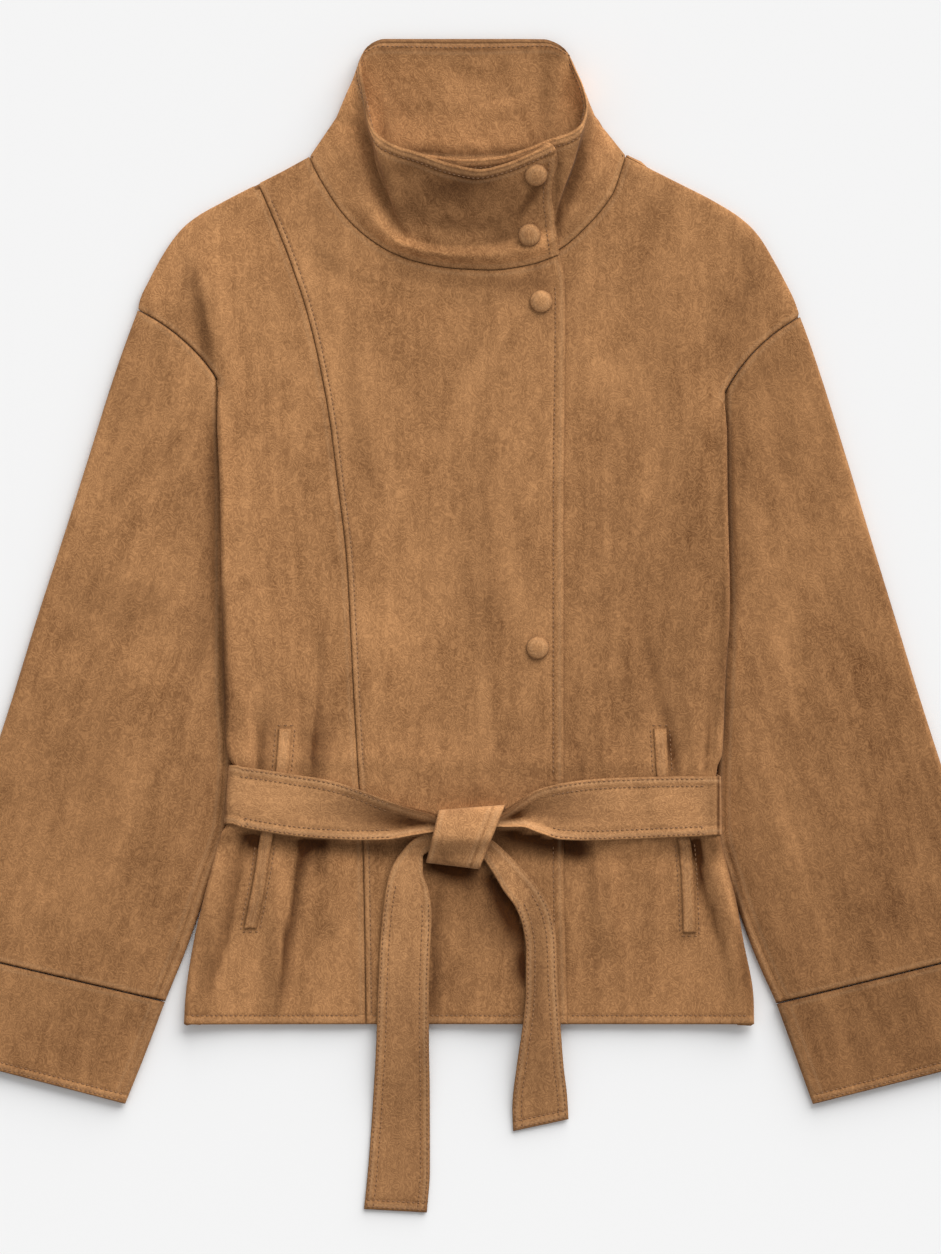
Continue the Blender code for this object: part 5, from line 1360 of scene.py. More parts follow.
def build_collar():
    levels = np.concatenate([AT_SEAM, np.linspace(0.25, 1.72, 34), 2 - AT_RIM[::-1]])
    grid = collar_grid(spaced(1, COLLAR_STEP, LAP_END, HIDDEN_END), levels)[:, ::-1]
    normals = grid_normals(grid)
    steps = np.linalg.norm(np.diff(grid, axis=0), axis=2)
    from_seam = np.concatenate([np.zeros((1, grid.shape[1])), np.cumsum(steps, axis=0)])
    from_rim = from_seam[-1:] - from_seam
    steps = np.linalg.norm(np.diff(grid, axis=1), axis=2)[:, ::-1]
    from_end = np.concatenate([np.zeros((grid.shape[0], 1)), np.cumsum(steps, axis=1)], axis=1)[:, ::-1]
    push = (rolled_down(from_seam, 2, 0.7) + rolled_down(from_rim, 1.6, 0.8)
            + rolled_down(from_end, 1.6, 0.8) + stitched_row(from_end, COLLAR_END_ROW, 0.4)
            - 0.5 * hump((from_rim - BAND) / 1.4) + 0.35 * hump((from_rim - BAND / 2) / (BAND / 2)))
    near_end = smooth_step(1 - from_end / 16)
    corner = 1 - np.sqrt(1 - (1 - np.clip(from_rim / 5.5, 0, 1)) ** 2)
    x, y = grid[..., 0], grid[..., 1]
    wavy = 3.2 * hump((y - 647) / 15) - 1.8 * hump((y - 621) / 17)
    grid[..., 0] += near_end * (wavy - 5 * corner)
    x, y = grid[..., 0], grid[..., 1]
    away = smooth_step(np.minimum(from_rim - 3, np.minimum(from_seam, from_end) - 2) / 8)
    standing = smooth_step((normals[..., 2] + 0.25) / 0.2)
    push = push + away * standing * rise_of(COLLAR_CREASES, x, y)
    lying = 1 - smooth_step((normals[..., 2] + 0.75) / 0.2)
    inner_rise = away * lying * np.maximum(0, 2 + rise_of(INNER_CREASES, x, y))
    grid = grid + np.array((0, 0, 1)) * inner_rise[..., None]
    grid = grid + normals * push[..., None]
    edge = np.min([from_seam, from_rim, from_end, np.abs(from_rim - BAND) + 0.4], axis=0)
    tone = (tone_of(COLLAR_PATCHES, x, y) + 1.6 * stitch_shade(from_rim, BAND)
            + stitch_shade(from_end, COLLAR_END_ROW))
    tone = tone + 0.34 * smooth_step((BAND - 1.6 - from_rim) / 1.5) * smooth_step((686 - y) / 16)
    # painted highlights on the two ridges of the rim's piping, and painted shade in the groove between them
    ridges = hump((from_rim - 1) / 1.4) + hump((from_rim - 4.4) / 1.4)
    tone = tone - 0.5 * hump(from_rim - 2.8) + 0.14 * ridges
    # painted shade in the dark slit along the seam inside the back of the neck
    tone = tone - 0.3 * lying * hump(y - LINING_SEAM_Y + 0.0008 * x * x) * (np.abs(x) < 66)
    tone = tone + standing * rise_of(COLLAR_SHADES, x, y)
    return skin("suede_collar", grid, COLLAR_SUEDE, "suede", edge, tone, 30, looks_up=False), grid


collar, COLLAR_GRID = build_collar()
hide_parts("collar")

# %% [markdown]
# ## Pocket welts
#
# Each slanting pocket is closed by a narrow folded strip, a welt, that shows above the belt
# and again below it.

# %% Welts
WELT_ACROSS = np.array((0, 1.2, 2.2, 3, 3.7, 4.3, 4.8))      # from the middle to an edge
WELTS = {  # y, x along the middle
    "right": [(222, -136.9), (190, -139.6), (140, -151.2), (112, -155.4), (72, -163.1)],
    "left": [(222, 144), (187, 146), (131, 163), (100, 165), (69, 166.1)],
}


def build_welt(side):
    low, high = WELTS[side][-1][0], WELTS[side][0][0]
    levels = low + spaced(float(high - low), 3, SEWN_EDGE[:6], SEWN_EDGE[:6])
    middle = along_seam(WELTS[side], levels)
    across = np.concatenate([-WELT_ACROSS[:0:-1], WELT_ACROSS])
    x = middle[:, None] + across[None, :]
    y = np.broadcast_to(levels[:, None], x.shape)
    to_edge = np.minimum(WELT_ACROSS[-1] - np.abs(across)[None, :], np.minimum(y - low, high - y))
    thick = WELT_THICK * 0.7
    z = highest(fronts_top, x, y, 2) + LYING + thick + rolled_down(to_edge, 1.4, 0.6)
    # painted shade on the part of a welt below the belt, where the belt's shadow falls
    tone = 0.08 - 0.14 * smooth_step((BELT_MIDDLE_Y + 1.6 - y) / 20)
    return skin("suede_pocket_welt_" + side, np.dstack([x, y, z]), thick, "suede", to_edge, tone, 4)


welts = {side: build_welt(side) for side in ("right", "left")}
for side, piece in welts.items():
    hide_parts("pocket_welt_" + side)

# %% [markdown]
# ## The tie belt
#
# The belt is a double strip, stitched round its edge. It goes round the body, gathers as it
# nears the knot, and its two ends hang below it. The strip cups as it narrows, because the
# knot squeezes its edges together.

# %% Belt in front
BELT_FRONT = {  # outer x, top y, bottom y, lift, cup
    "right": [(-170, 193.6, 148, 0, 0), (-150, 190.8, 144.2, 0, 0),
              (-130, 187.6, 141.2, 0, 0.2), (-107, 184, 139.2, 0.3, 0.5),
              (-82.5, 176.8, 138.2, 1, 3), (-60, 167.8, 138.8, 2.6, 5.4),
              (-42, 161.6, 142, 4.4, 7), (-26, 157, 144.6, 5, 6),
              (-19, 152, 145.6, 5, 3)],
    "left": [(177, 186.4, 141.4, 0, 0), (150, 186.2, 140.2, 0, 0),
             (124, 185.6, 139, 0, 0.2), (93, 184.1, 138, 0.3, 0.6),
             (70, 181, 138.8, 1, 3.4), (53, 176.4, 144, 2.8, 6),
             (40, 168, 148.4, 4.6, 7), (30, 161, 148.4, 5, 6),
             (19, 155, 148.6, 5, 3)],
}
BELT_TURN_IN = ((-9.4, 0), (-13, 0))
BELT_END = {"right": ((-183.2, 150.4), (-179.2, 194.6)), "left": ((190.2, 142.1), (189.6, 186.4))}
BELT_EDGE = (0, 0.012, 0.026, 0.042, 0.06, 0.08, 0.1, 0.125, 0.15, 0.18, 0.21, 0.24)
BELT_ACROSS = spaced(1, 0.07, BELT_EDGE, BELT_EDGE)
# patches of painted light and shade, and of the belt's own tone
BELT_PATCHES = {  # x outwards, y, half width, half height, tone
    "right": [(122, 150, 34, 16, -0.13), (174, 144, 10, 8, 0.3),
              (80, 154, 20, 8, 0.1), (32, 155, 8, 6, 0.2)],
    "left": [(54, 158, 18, 9, 0.26), (184, 164, 7, 26, -0.42),
             (35, 157, 7, 6, -0.3)],
}
BELT_TONE = {"right": 0.06, "left": 0.14}
BELT_END_SHADE = {"right": (181.6, 0.4), "left": (187.6, 0.7)}      # x outwards of the painted shade where the belt turns down round the side, and how dark
BELT_ROWS = (2, 7.6)
WRAP_TURN, WRAP_STEPS = np.radians(150), 14                  # how far the belt turns round the side


def under_belt(x, y):
    """What the belt lies on: the fronts, and the welts where they pass beneath it."""
    top = fronts_top(x, y)
    for side in ("right", "left"):
        inside = np.abs(x - along_seam(WELTS[side], y)) < WELT_WIDTH / 2 + 1
        top = np.where(inside, top + LYING + WELT_THICK, top)
    return top


print("belt has", len(BELT_ACROSS), "points across")

# %% Gathered belt
def smoothed(values, times):
    """Rows of values evened out with their neighbours, never below what they were."""
    out = values
    for _ in range(times):
        padded = np.concatenate([out[:1], out, out[-1:]])
        out = np.maximum(values, 0.25 * padded[:-2] + 0.5 * padded[1:-1] + 0.25 * padded[2:])
    return out


def build_belt_front(side):
    sign = -1 if side == "right" else 1
    table = np.array(BELT_FRONT[side])
    travel = np.abs(table[:, 0] - table[0, 0])
    where = spaced(travel[-1], 2.6, (0,), (0,))
    x, top_y, bottom_y, lift, cup = (soft_curve(travel, column, where)[:, None] for column in table.T)
    across = BELT_ACROSS[None, :]
    y = bottom_y + (top_y - bottom_y) * across
    x = np.broadcast_to(x, y.shape)
    rest = smoothed(highest(under_belt, x, y, 8), 12)
    lying = LYING + BELT_SUEDE
    radius = SIDE_ROLL + LYING + BELT_SUEDE + 0.6
    z = rest + lying + lift + cup * ((2 * across - 1) ** 2 - 0.3)
    flat = np.dstack([x, y, z])
    low, high = np.array(BELT_END[side])
    end = low[None, :] + (high - low)[None, :] * BELT_ACROSS[:, None]
    top_z = highest(under_belt, end[:, 0] - sign * radius, end[:, 1], 2) + lying
    turns = WRAP_TURN * np.linspace(0, 1, WRAP_STEPS)
    out = np.concatenate([-radius + radius * np.sin(turns), [BELT_TURN_IN[0][0], BELT_TURN_IN[1][0]]])
    fall = top_z[None, :] - radius * (1 - np.cos(turns))[:, None]
    wrap_z = np.concatenate([fall, np.zeros((2, len(BELT_ACROSS)))])
    wrap = np.dstack([end[None, :, 0] + sign * out[:, None],
                      np.broadcast_to(end[None, :, 1], wrap_z.shape), wrap_z])
    bridge = [wrap[0] * (1 - t) + flat[0] * t for t in np.linspace(0, 1, 5)[1:-1]]
    grid = np.concatenate([wrap[::-1], bridge, flat])
    width = np.linalg.norm(grid[:, -1] - grid[:, 0], axis=1)[:, None]
    to_edge = width * np.minimum(BELT_ACROSS, 1 - BELT_ACROSS)[None, :]
    grid[..., 2] += (rolled_down(to_edge, 1.8, 0.8) + stitched_row(to_edge, BELT_ROWS[0], 0.2)
                     + stitched_row(to_edge, BELT_ROWS[1], 0.4))
    outer_x = np.abs(grid[..., 0])
    patches = tone_of(BELT_PATCHES[side], outer_x, grid[..., 1])
    inward = smooth_step((128 - outer_x) / 60)
    grid = np.transpose(grid, (1, 0, 2)) if side == "right" else np.transpose(grid, (1, 0, 2))[:, ::-1]
    hollow = np.concatenate([np.zeros((len(wrap) + len(bridge), 1)), cup])
    near_edge = hump(to_edge / 9)
    # painted shade as the belt gathers towards the knot and in its cupped hollow, and painted highlights on
    # its raised edges near the knot
    tone = BELT_TONE[side] - 0.28 * inward * (1 - 0.8 * near_edge) + stitch_shade(to_edge, *BELT_ROWS)
    tone = tone - 0.09 * hollow * hump((2 * across - 1) / 0.8) + 0.1 * inward * near_edge
    shade_x, dark = BELT_END_SHADE[side]
    tone = tone + patches - dark * hump((outer_x - shade_x) / 1.7)
    if side == "left":
        to_edge, tone = to_edge[::-1], tone[::-1]
    return skin("suede_belt_front_" + side, grid, BELT_SUEDE, "belt_suede", to_edge.T, tone.T, 90)


belt_fronts = {side: build_belt_front(side) for side in ("right", "left")}
for side, piece in belt_fronts.items():
    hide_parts("belt_front_" + side)

# %% Belt behind
def build_belt_back():
    start = -BELT_TURN_IN[-1][0] + SEAM
    right, left = np.array(BELT_END["right"]) + (start, 0), np.array(BELT_END["left"]) - (start, 0)
    across, along = np.linspace(0, 1, 10)[:, None, None], np.linspace(0, 1, 80)[None, :, None]
    first = right[0] + (right[1] - right[0]) * across
    last = left[0] + (left[1] - left[0]) * across
    places = first + (last - first) * along
    grid = np.dstack([places, np.full(places.shape[:2], BELT_SUEDE)])
    edge = np.broadcast_to(BELT_WIDTH * np.minimum(across, 1 - across)[..., 0], grid.shape[:2])
    return skin("suede_belt_back", grid, BELT_SUEDE, "belt_suede", edge, -0.1, 90)


belt_back = build_belt_back()
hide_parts("belt_back")

# %% Knot
KNOT_TOP = np.array(((-22, 161), (28, 165)))
KNOT_BOTTOM = np.array(((-31.5, 121.4), (8.6, 116.6)))
KNOT_EDGE = (0, 0.012, 0.03, 0.05, 0.075, 0.1)
KNOT_FOLD, KNOT_ROW = 0.83, 0.17      # shares across it, where it is pleated and where it is stitched
# patches of painted light and shade on the knot
KNOT_PATCHES = [(-17, 127, 17, 9, -0.56), (-8, 160, 16, 5, -0.3),
                (6, 146, 12, 14, 0.12)]


def build_knot():
    turns = np.linspace(0, math.pi, 61)[:, None]
    across = spaced(1, 0.04, KNOT_EDGE, KNOT_EDGE)[None, :]
    top = KNOT_TOP[0] + (KNOT_TOP[1] - KNOT_TOP[0]) * across[..., None]
    bottom = KNOT_BOTTOM[0] + (KNOT_BOTTOM[1] - KNOT_BOTTOM[0]) * across[..., None]
    share = (1 + np.cos(turns)) / 2
    places = top + (bottom - top) * share[..., None]
    foot = highest(fronts_top, places[..., 0], places[..., 1], 3) + LYING
    lift = (KNOT_HEIGHT - 1.6 * (2 * across - 1) ** 4) * np.sin(turns) ** 0.42
    to_edge, fold, row = (np.broadcast_to(BELT_WIDTH * away, places.shape[:2]) for away in (
        np.minimum(across, 1 - across), np.abs(across - KNOT_FOLD), np.abs(across - KNOT_ROW)))
    dip = rolled_down(to_edge, 2.6, 1.4) - 1.1 * hump(fold / 1.8) - 0.4 * hump(row / 1.6)
    lift = lift + dip * np.sin(turns) ** 0.3
    grid = np.dstack([places, foot + lift])
    edge = np.minimum(to_edge, fold + 0.5)
    # painted shade in the pleat and along the row of stitches, with painted highlights on the pleat's lips
    tone = 0.18 - 0.45 * hump(fold / 1.2) - 0.15 * hump(row / 1) + 0.1 * hump((fold + 2) / 6)
    tone = tone + tone_of(KNOT_PATCHES, grid[..., 0], grid[..., 1])
    return skin("suede_belt_knot", grid, BELT_SUEDE, "belt_suede", edge, tone, 15)


belt_knot = build_knot()
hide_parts("belt_knot")

# %% Hanging ends
TAILS = {  # near x and y, far x and y, how far it is held clear
    "right": [(-16, 133, -13, 142, 0.6), (-25, 131, -24, 145, 1),
              (-33.6, 126, -38, 141, 2.6), (-33.6, 115, -48.5, 131.4, 3.2),
              (-28.6, 98, -58.6, 114.5, 2.4), (-27.2, 82, -62.8, 94, 1.2),
              (-28.2, 56, -65.8, 64, 0.2), (-29.2, 22, -67.8, 22, 0),
              (-29.2, -8, -68.6, -8, 0), (-28.6, -50, -70.8, -50, 0),
              (-28.5, -109, -75, -109, 0), (-30.8, -141, -78, -138.4, 0)],
    "left": [(-2, 133, 5, 143, 0.6), (8, 127.5, 17, 139, 1),
             (17.6, 115.4, 29, 129, 2.6), (26.5, 100.6, 41, 116.6, 3.2),
             (35.6, 88, 54, 101, 2.4), (40.8, 74, 62.6, 84, 1.2),
             (43.3, 56, 66.2, 64, 0.2), (43.2, 27, 67.4, 30, 0),
             (41.4, 4, 69, 5, 0), (36.6, -30, 71.6, -30, 0),
             (33.2, -62, 74.4, -54, 0), (33.8, -80, 75.4, -71, 0)],
}


# patches of painted light and shade, and of the belt's own tone
TAIL_PATCHES = {  # x, y, half width, half height, tone
    "right": [(-68, -36, 14, 50, 0.18)],
    "left": [(52, 22, 8, 50, -0.34), (20, 128, 14, 12, 0.2), (34, 98, 10, 22, 0.32)],
}
TAIL_ROWS, TAIL_END_ROW = (2, 7), 7.4


def under_tail(x, y):
    """What a belt end lies on: the fronts, then a slope from the hem down to the table."""
    return highest(fronts_top, x, np.maximum(y, 4), 3) * smooth_step((y + 84) / 80)


def build_tail(side):
    table = np.array(TAILS[side])
    length = rung_travel(table)[-1]
    rungs = read_rungs(table, spaced(length, 2.8, (0,), SEWN_EDGE))
    start, end = rungs[:, None, 0:2], rungs[:, None, 2:4]
    places = start + (end - start) * BELT_ACROSS[None, :, None]
    x, y = places[..., 0], places[..., 1]
    rest = under_tail(x, y)
    z = rest + LYING * np.minimum(1, rest / 3) + rungs[:, 4:5] + BELT_SUEDE
    width = np.linalg.norm(rungs[:, 2:4] - rungs[:, 0:2], axis=1)[:, None]
    to_edge = width * np.minimum(BELT_ACROSS, 1 - BELT_ACROSS)[None, :]
    to_end = distance_to([rungs[-1, :2], rungs[-1, 2:4]], x, y)
    z = (z + rolled_down(to_edge, 1.8, 0.8) + stitched_row(to_edge, TAIL_ROWS[0], 0.15)
         + stitched_row(to_edge, TAIL_ROWS[1], 0.3) + rolled_down(to_end, 1.8, 0.8)
         + stitched_row(to_end, TAIL_END_ROW, 0.35))
    grid = np.dstack([x, y, z])[::-1]
    edge = np.minimum(to_edge, to_end)[::-1]
    low_down = smooth_step((20 - y) / 90)
    rows_tone = 0.5 * low_down * stitch_shade(to_edge, TAIL_ROWS[0])
    tone = (rows_tone + stitch_shade(to_end, TAIL_ROWS[0], TAIL_END_ROW))[::-1]
    tone = tone + 0.02 - (0.34 * smooth_step((80 - y[::-1]) / 90) - 0.08 if side == "right" else 0.14)
    tone = tone + tone_of(TAIL_PATCHES[side], x[::-1], y[::-1])
    if side == "right":
        grid, edge, tone = grid[:, ::-1], edge[:, ::-1], tone[:, ::-1]
    return skin("suede_belt_tail_" + side, grid, BELT_SUEDE, "belt_suede", edge, tone, 0)


tails = {side: build_tail(side) for side in ("right", "left")}
for side, piece in tails.items():
    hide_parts("belt_tail_" + side)

# %% [markdown]
# ## Snap buttons
#
# Four snaps covered in the same suede. A covered snap is a low dome whose cloth is drawn in
# under its rim, so the rim throws a thin dark line on what it sits on. Each is a profile
# turned about its middle, placed square on the cloth below it.

# %% Buttons
BUTTONS = [(50.7, 636.4), (46, 591.6), (54.8, 542), (52.1, 282.5)]
BUTTON_PROFILE = [(0, 1), (0.12, 0.995), (0.25, 0.975), (0.38, 0.94), (0.5, 0.89), (0.62, 0.82),
                  (0.73, 0.73), (0.82, 0.63), (0.9, 0.52), (0.955, 0.42), (0.99, 0.31), (1, 0.22),
                  (0.985, 0.14), (0.93, 0.08), (0.86, 0.04), (0.84, 0), (0, 0)]
BUTTON_STEPS = 48
PROBES = 8                # places round the rim where the cloth below is felt for


def tree_of(*pieces):
    """A search tree over pieces, for finding what lies below a place."""
    points, faces = [], []
    for piece in pieces:
        start = len(points)
        points += [vertex.co for vertex in piece.data.vertices]
        faces += [[start + i for i in face.vertices] for face in piece.data.polygons]
    return BVHTree.FromPolygons(points, faces)


def drop(tree, x, y):
    """Where a needle dropped at this place meets the cloth, in millimetres, and the way it faces."""
    place, normal = tree.ray_cast(Vector(world((x, y, 200))), Vector((0, 0, -1)))[:2]
    if place is None:
        return None, None
    return np.array(place) / MM + (0, MIDDLE_Y, 0), np.array(normal)


def build_button(number, x, y, tree):
    turns = np.linspace(0, math.tau, PROBES, endpoint=False)
    rim = [drop(tree, x + BUTTON_RADIUS * math.cos(t), y + BUTTON_RADIUS * math.sin(t))[0] for t in turns]
    middle = np.mean(rim + [drop(tree, x, y)[0]], axis=0)
    normal = sum(np.cross(rim[k] - middle, rim[(k + 1) % PROBES] - middle) for k in range(PROBES))
    normal /= np.linalg.norm(normal)
    clear = max(float((point - middle) @ normal) for point in rim) + BUTTON_CLEAR
    side = np.cross((0, 1, 0), normal)
    side /= np.linalg.norm(side)
    up = np.cross(normal, side)
    turns = np.linspace(0, math.tau, BUTTON_STEPS, endpoint=False)
    rings = []
    for radius, height in BUTTON_PROFILE[1:-1]:
        circle = (np.cos(turns)[:, None] * side + np.sin(turns)[:, None] * up) * radius * BUTTON_RADIUS
        rings.append(circle + normal * (height * BUTTON_HEIGHT + clear))
    tops = [normal * (BUTTON_HEIGHT + clear), normal * clear]
    points = np.concatenate(rings + [np.array(tops)]) + middle
    last = len(points) - 2
    faces = [(last, k, (k + 1) % BUTTON_STEPS) for k in range(BUTTON_STEPS)]
    for i in range(len(rings) - 1):
        for k in range(BUTTON_STEPS):
            a, b = i * BUTTON_STEPS + k, i * BUTTON_STEPS + (k + 1) % BUTTON_STEPS
            faces.append((a, a + BUTTON_STEPS, b + BUTTON_STEPS, b))
    start = (len(rings) - 1) * BUTTON_STEPS
    faces += [(last + 1, start + (k + 1) % BUTTON_STEPS, start + k) for k in range(BUTTON_STEPS)]
    radii = [r for r, _ in BUTTON_PROFILE[1:-1] for _ in range(BUTTON_STEPS)] + [0, 0]
    edge = BUTTON_RADIUS * (1 - np.array(radii))
    hide = (points + (0, 0, 300 * number)) * MM
    layers = [("edge_mm", edge), ("tone", np.zeros(len(points))), ("hide", hide)]
    return make_object(f"suede_button_{number}", points, faces, "button_suede", layers)


button_bed = tree_of(collar, front_right_centre)
buttons = [build_button(i + 1, x, y, button_bed) for i, (x, y) in enumerate(BUTTONS)]
for i, piece in enumerate(buttons):
    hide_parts(f"button_{i + 1}")
print(len(buttons), "buttons of", 2 * BUTTON_RADIUS, "mm")

# %% [markdown]
# ## Stitches
#
# Each row of topstitching is a chain of short threads that rise out of the suede and dive
# back in. One thread is a tiny spindle. A row follows a line on the cloth, and all the rows
# of a piece are one mesh.

# %% Stitch helper
STITCH, GAP, THREAD = 2.5, 1.1, 0.42     # length, space to the next one, and half thickness
# share of the length, share of the thickness, height above the cloth
SPINDLE = ((-0.5, 0.35, -0.3), (-0.32, 0.85, 0.04), (0, 1, 0.16), (0.32, 0.85, 0.04), (0.5, 0.35, -0.3))
SIDES = 6
STITCH_POINTS = SIDES * len(SPINDLE)


def stitch_row(line, normals):
    """Points and faces of the stitches along a line on the cloth."""
    travel = travelled(line)
    count = max(1, int(travel[-1] / (STITCH + GAP)))
    middles = (np.arange(count) + 0.5) * travel[-1] / count

    def at(where, values):
        return np.stack([np.interp(where, travel, values[:, i]) for i in range(3)], axis=1)
    middle = at(middles, line)
    along = at(middles + 0.6, line) - at(middles - 0.6, line)
    along /= np.linalg.norm(along, axis=1, keepdims=True)
    up = at(middles, normals)
    up -= along * np.sum(up * along, axis=1, keepdims=True)
    up /= np.linalg.norm(up, axis=1, keepdims=True)
    side = np.cross(along, up)
    turns = np.linspace(0, math.tau, SIDES, endpoint=False)
    rings = []
    for share, thick, rise in SPINDLE:
        centre = middle + along * share * STITCH + up * (rise + 0.12)
        for turn in turns:
            rings.append(centre + (side * math.cos(turn) + up * math.sin(turn)) * THREAD * thick)
    points = np.stack(rings, axis=1)
    faces = [tuple(range(SIDES))[::-1], tuple(range(STITCH_POINTS - SIDES, STITCH_POINTS))]
    for ring in range(0, STITCH_POINTS - SIDES, SIDES):
        for k in range(SIDES):
            a, b = ring + k, ring + (k + 1) % SIDES
            faces.append((a, b, b + SIDES, a + SIDES))
    return points, faces


def sew(name, rows):
    """One mesh of stitches from rows, each a line on the cloth and its normals."""
    points, faces, start = [], [], 0
    for line, normals in rows:
        stitches, pattern = stitch_row(np.asarray(line), np.asarray(normals))
        for k in range(len(stitches)):
            faces += [tuple(start + k * STITCH_POINTS + i for i in face) for face in pattern]
        points.append(stitches.reshape(-1, 3))
        start += len(stitches) * STITCH_POINTS
    piece = make_object(name, np.concatenate(points), faces, "thread")
    print(name, "has", start // STITCH_POINTS, "stitches")
    return piece


def on_cloth(tree, places):
    """A line of places dropped onto the cloth, with its normals."""
    found = [drop(tree, x, y) for x, y in places]
    found = [(place, normal) for place, normal in found if place is not None]
    return np.array([place for place, _ in found]), np.array([normal for _, normal in found])


def beside(line, offset):
    """A line on the table moved sideways: to its right where offset is above 0."""
    line = np.asarray(line, float)[:, :2]
    run = np.gradient(line, axis=0)
    run /= np.linalg.norm(run, axis=1, keepdims=True)
    return line + np.stack([run[:, 1], -run[:, 0]], axis=1) * offset


def part_of(line, low, high):
    """The stretch of a line between two heights on the table."""
    line = np.asarray(line)
    return line[(line[:, 1] >= low) & (line[:, 1] <= high)]


print("a stitch is", STITCH, "mm long")

# %% Stitches of the fronts
ABOVE_BELT, BELOW_BELT = 188, 136      # where rows that pass under the belt stop


def seam_line(seam, low, high, step):
    """Places along a seam between two heights."""
    y = np.arange(low, high, step)
    return np.stack([along_seam(seam, y), y], axis=1)


def level_line(x, y):
    """Places straight across at one height."""
    return np.stack([x, np.full(len(x), y)], axis=1)


def front_stitches():
    trees = {key: tree_of(piece) for key, piece in (
        ("right_side", front_right_side), ("right_centre", front_right_centre), ("left", front_left))}
    lines = {key: [] for key in trees}
    hem = HEM_Y + HEM_ROW
    princess = beside(seam_line(PRINCESS, 2, 624, 3), PRINCESS_ROW)
    lap = beside(seam_line(FRONT_EDGE, 8, 556, 3), -LAP_ROW)
    for line, low, high in ((princess, 192, 621), (princess, hem, BELOW_BELT),
                            (lap, 186, 556), (lap, hem, BELOW_BELT)):
        lines["right_centre"].append(part_of(line, low, high))
    for key, first, last in (("right_centre", -72, 72), ("right_side", -208, -79),
                             ("left", 77, 211)):
        lines[key].append(level_line(np.arange(first, last, 3), hem))
    for side, key in (("right", "right_side"), ("left", "left")):
        top, bottom = WELTS[side][0][0], WELTS[side][-1][0]
        middle = seam_line(WELTS[side], bottom - 2, top + 3, 2.5)
        for offset in (-WELT_WIDTH / 2 - WELT_ROW, WELT_WIDTH / 2 + WELT_ROW):
            lines[key].append(part_of(beside(middle, offset), ABOVE_BELT, 224))
            lines[key].append(part_of(beside(middle, offset), bottom - 2, BELOW_BELT))
        for end in (top + WELT_ROW, bottom - WELT_ROW):
            x = float(along_seam(WELTS[side], end)) + np.arange(-7, 7.1, 1)
            lines[key].append(level_line(x, end))
    return {key: sew("stitches_front_" + key, [on_cloth(trees[key], line) for line in lines[key]])
            for key in lines}


stitches = front_stitches()

# %% Stitches of the cuffs
def cuff_stitches(side):
    tree = tree_of(cuffs[side])
    end = np.array(CUFF_ROWS[side][-1])
    outer, inner = end[:2], end[2:4]
    line = outer + (inner - outer) * np.linspace(0.02, 0.98, 60)[:, None]
    offset = 1 if side == "left" else -1
    rows = [on_cloth(tree, beside(line, offset * away)) for away in CUFF_STITCHES]
    return sew("stitches_cuff_" + side, rows)


for side in ("right", "left"):
    stitches["cuff_" + side] = cuff_stitches(side)

# %% Stitches of the collar
def collar_stitches():
    grid = COLLAR_GRID
    normals = grid_normals(grid)
    lengths = np.linalg.norm(np.diff(grid, axis=0), axis=2)[::-1]
    from_rim = np.concatenate([np.zeros((1, grid.shape[1])), np.cumsum(lengths, axis=0)])[::-1]

    def round_rim(offset, first, last, inside):
        columns = np.arange(int(first * grid.shape[1]), int(last * grid.shape[1]))
        line, ups = [], []
        for c in columns:
            point = [np.interp(offset, from_rim[::-1, c], grid[::-1, c, i]) for i in range(3)]
            normal = np.array([np.interp(offset, from_rim[::-1, c], normals[::-1, c, i]) for i in range(3)])
            normal /= np.linalg.norm(normal)
            line.append(np.array(point) - normal * (COLLAR_SUEDE if inside else 0))
            ups.append(-normal if inside else normal)
        return np.array(line), np.array(ups)
    rows = [round_rim(BAND, 0.01, 0.98, False), round_rim(BAND, 0.03, 0.98, True)]
    grid, normals = grid[:, ::-1], normals[:, ::-1]
    steps = np.linalg.norm(np.diff(grid, axis=1), axis=2)
    from_end = np.concatenate([np.zeros((grid.shape[0], 1)), np.cumsum(steps, axis=1)], axis=1)
    line = np.array([[np.interp(COLLAR_END_ROW, from_end[r], grid[r, :, i]) for i in range(3)]
                     for r in range(3, grid.shape[0] - 10)])
    ups = np.array([normals[r, 9] for r in range(3, grid.shape[0] - 10)])
    rows.append((line, ups))
    return sew("stitches_collar", rows)


stitches["collar"] = collar_stitches()

# %% Stitches of the belt
def belt_stitches(name, piece, offsets, edges):
    """Rows beside each edge of a strip; an edge is a line and the side of it that has cloth."""
    tree = tree_of(piece)
    rows = [on_cloth(tree, beside(line, sign * offset)) for line, sign in edges for offset in offsets]
    return sew(name, [row for row in rows if len(row[0]) > 3])


FLAT_TO = {"right": 172, "left": 180}      # past this x the belt turns down round the side
GATHERED_FROM = 58                           # nearer the knot than this its rows are folded away

for side in ("right", "left"):
    grid = GRIDS["suede_belt_front_" + side]
    flat = [c for c in range(grid.shape[1]) if abs(grid[0, c, 0]) < FLAT_TO[side]]
    bottom, top = grid[0, flat], grid[-1, flat]
    keep = np.abs(bottom[:, 0]) > GATHERED_FROM
    stitches["belt_front_" + side] = belt_stitches(
        "stitches_belt_front_" + side, belt_fronts[side], (2, 7.4),
        [(bottom[keep], -1), (top[keep], 1)])
    tail = GRIDS["suede_belt_tail_" + side]
    left_edge, right_edge = tail[:, 0], tail[:, -1]
    stitches["belt_tail_" + side] = belt_stitches(
        "stitches_belt_tail_" + side, tails[side], TAIL_ROWS,
        [(left_edge[4:-22], 1), (right_edge[4:-22], -1), (tail[0][2:-2], -1)])
print("stitched pieces:", len(stitches))
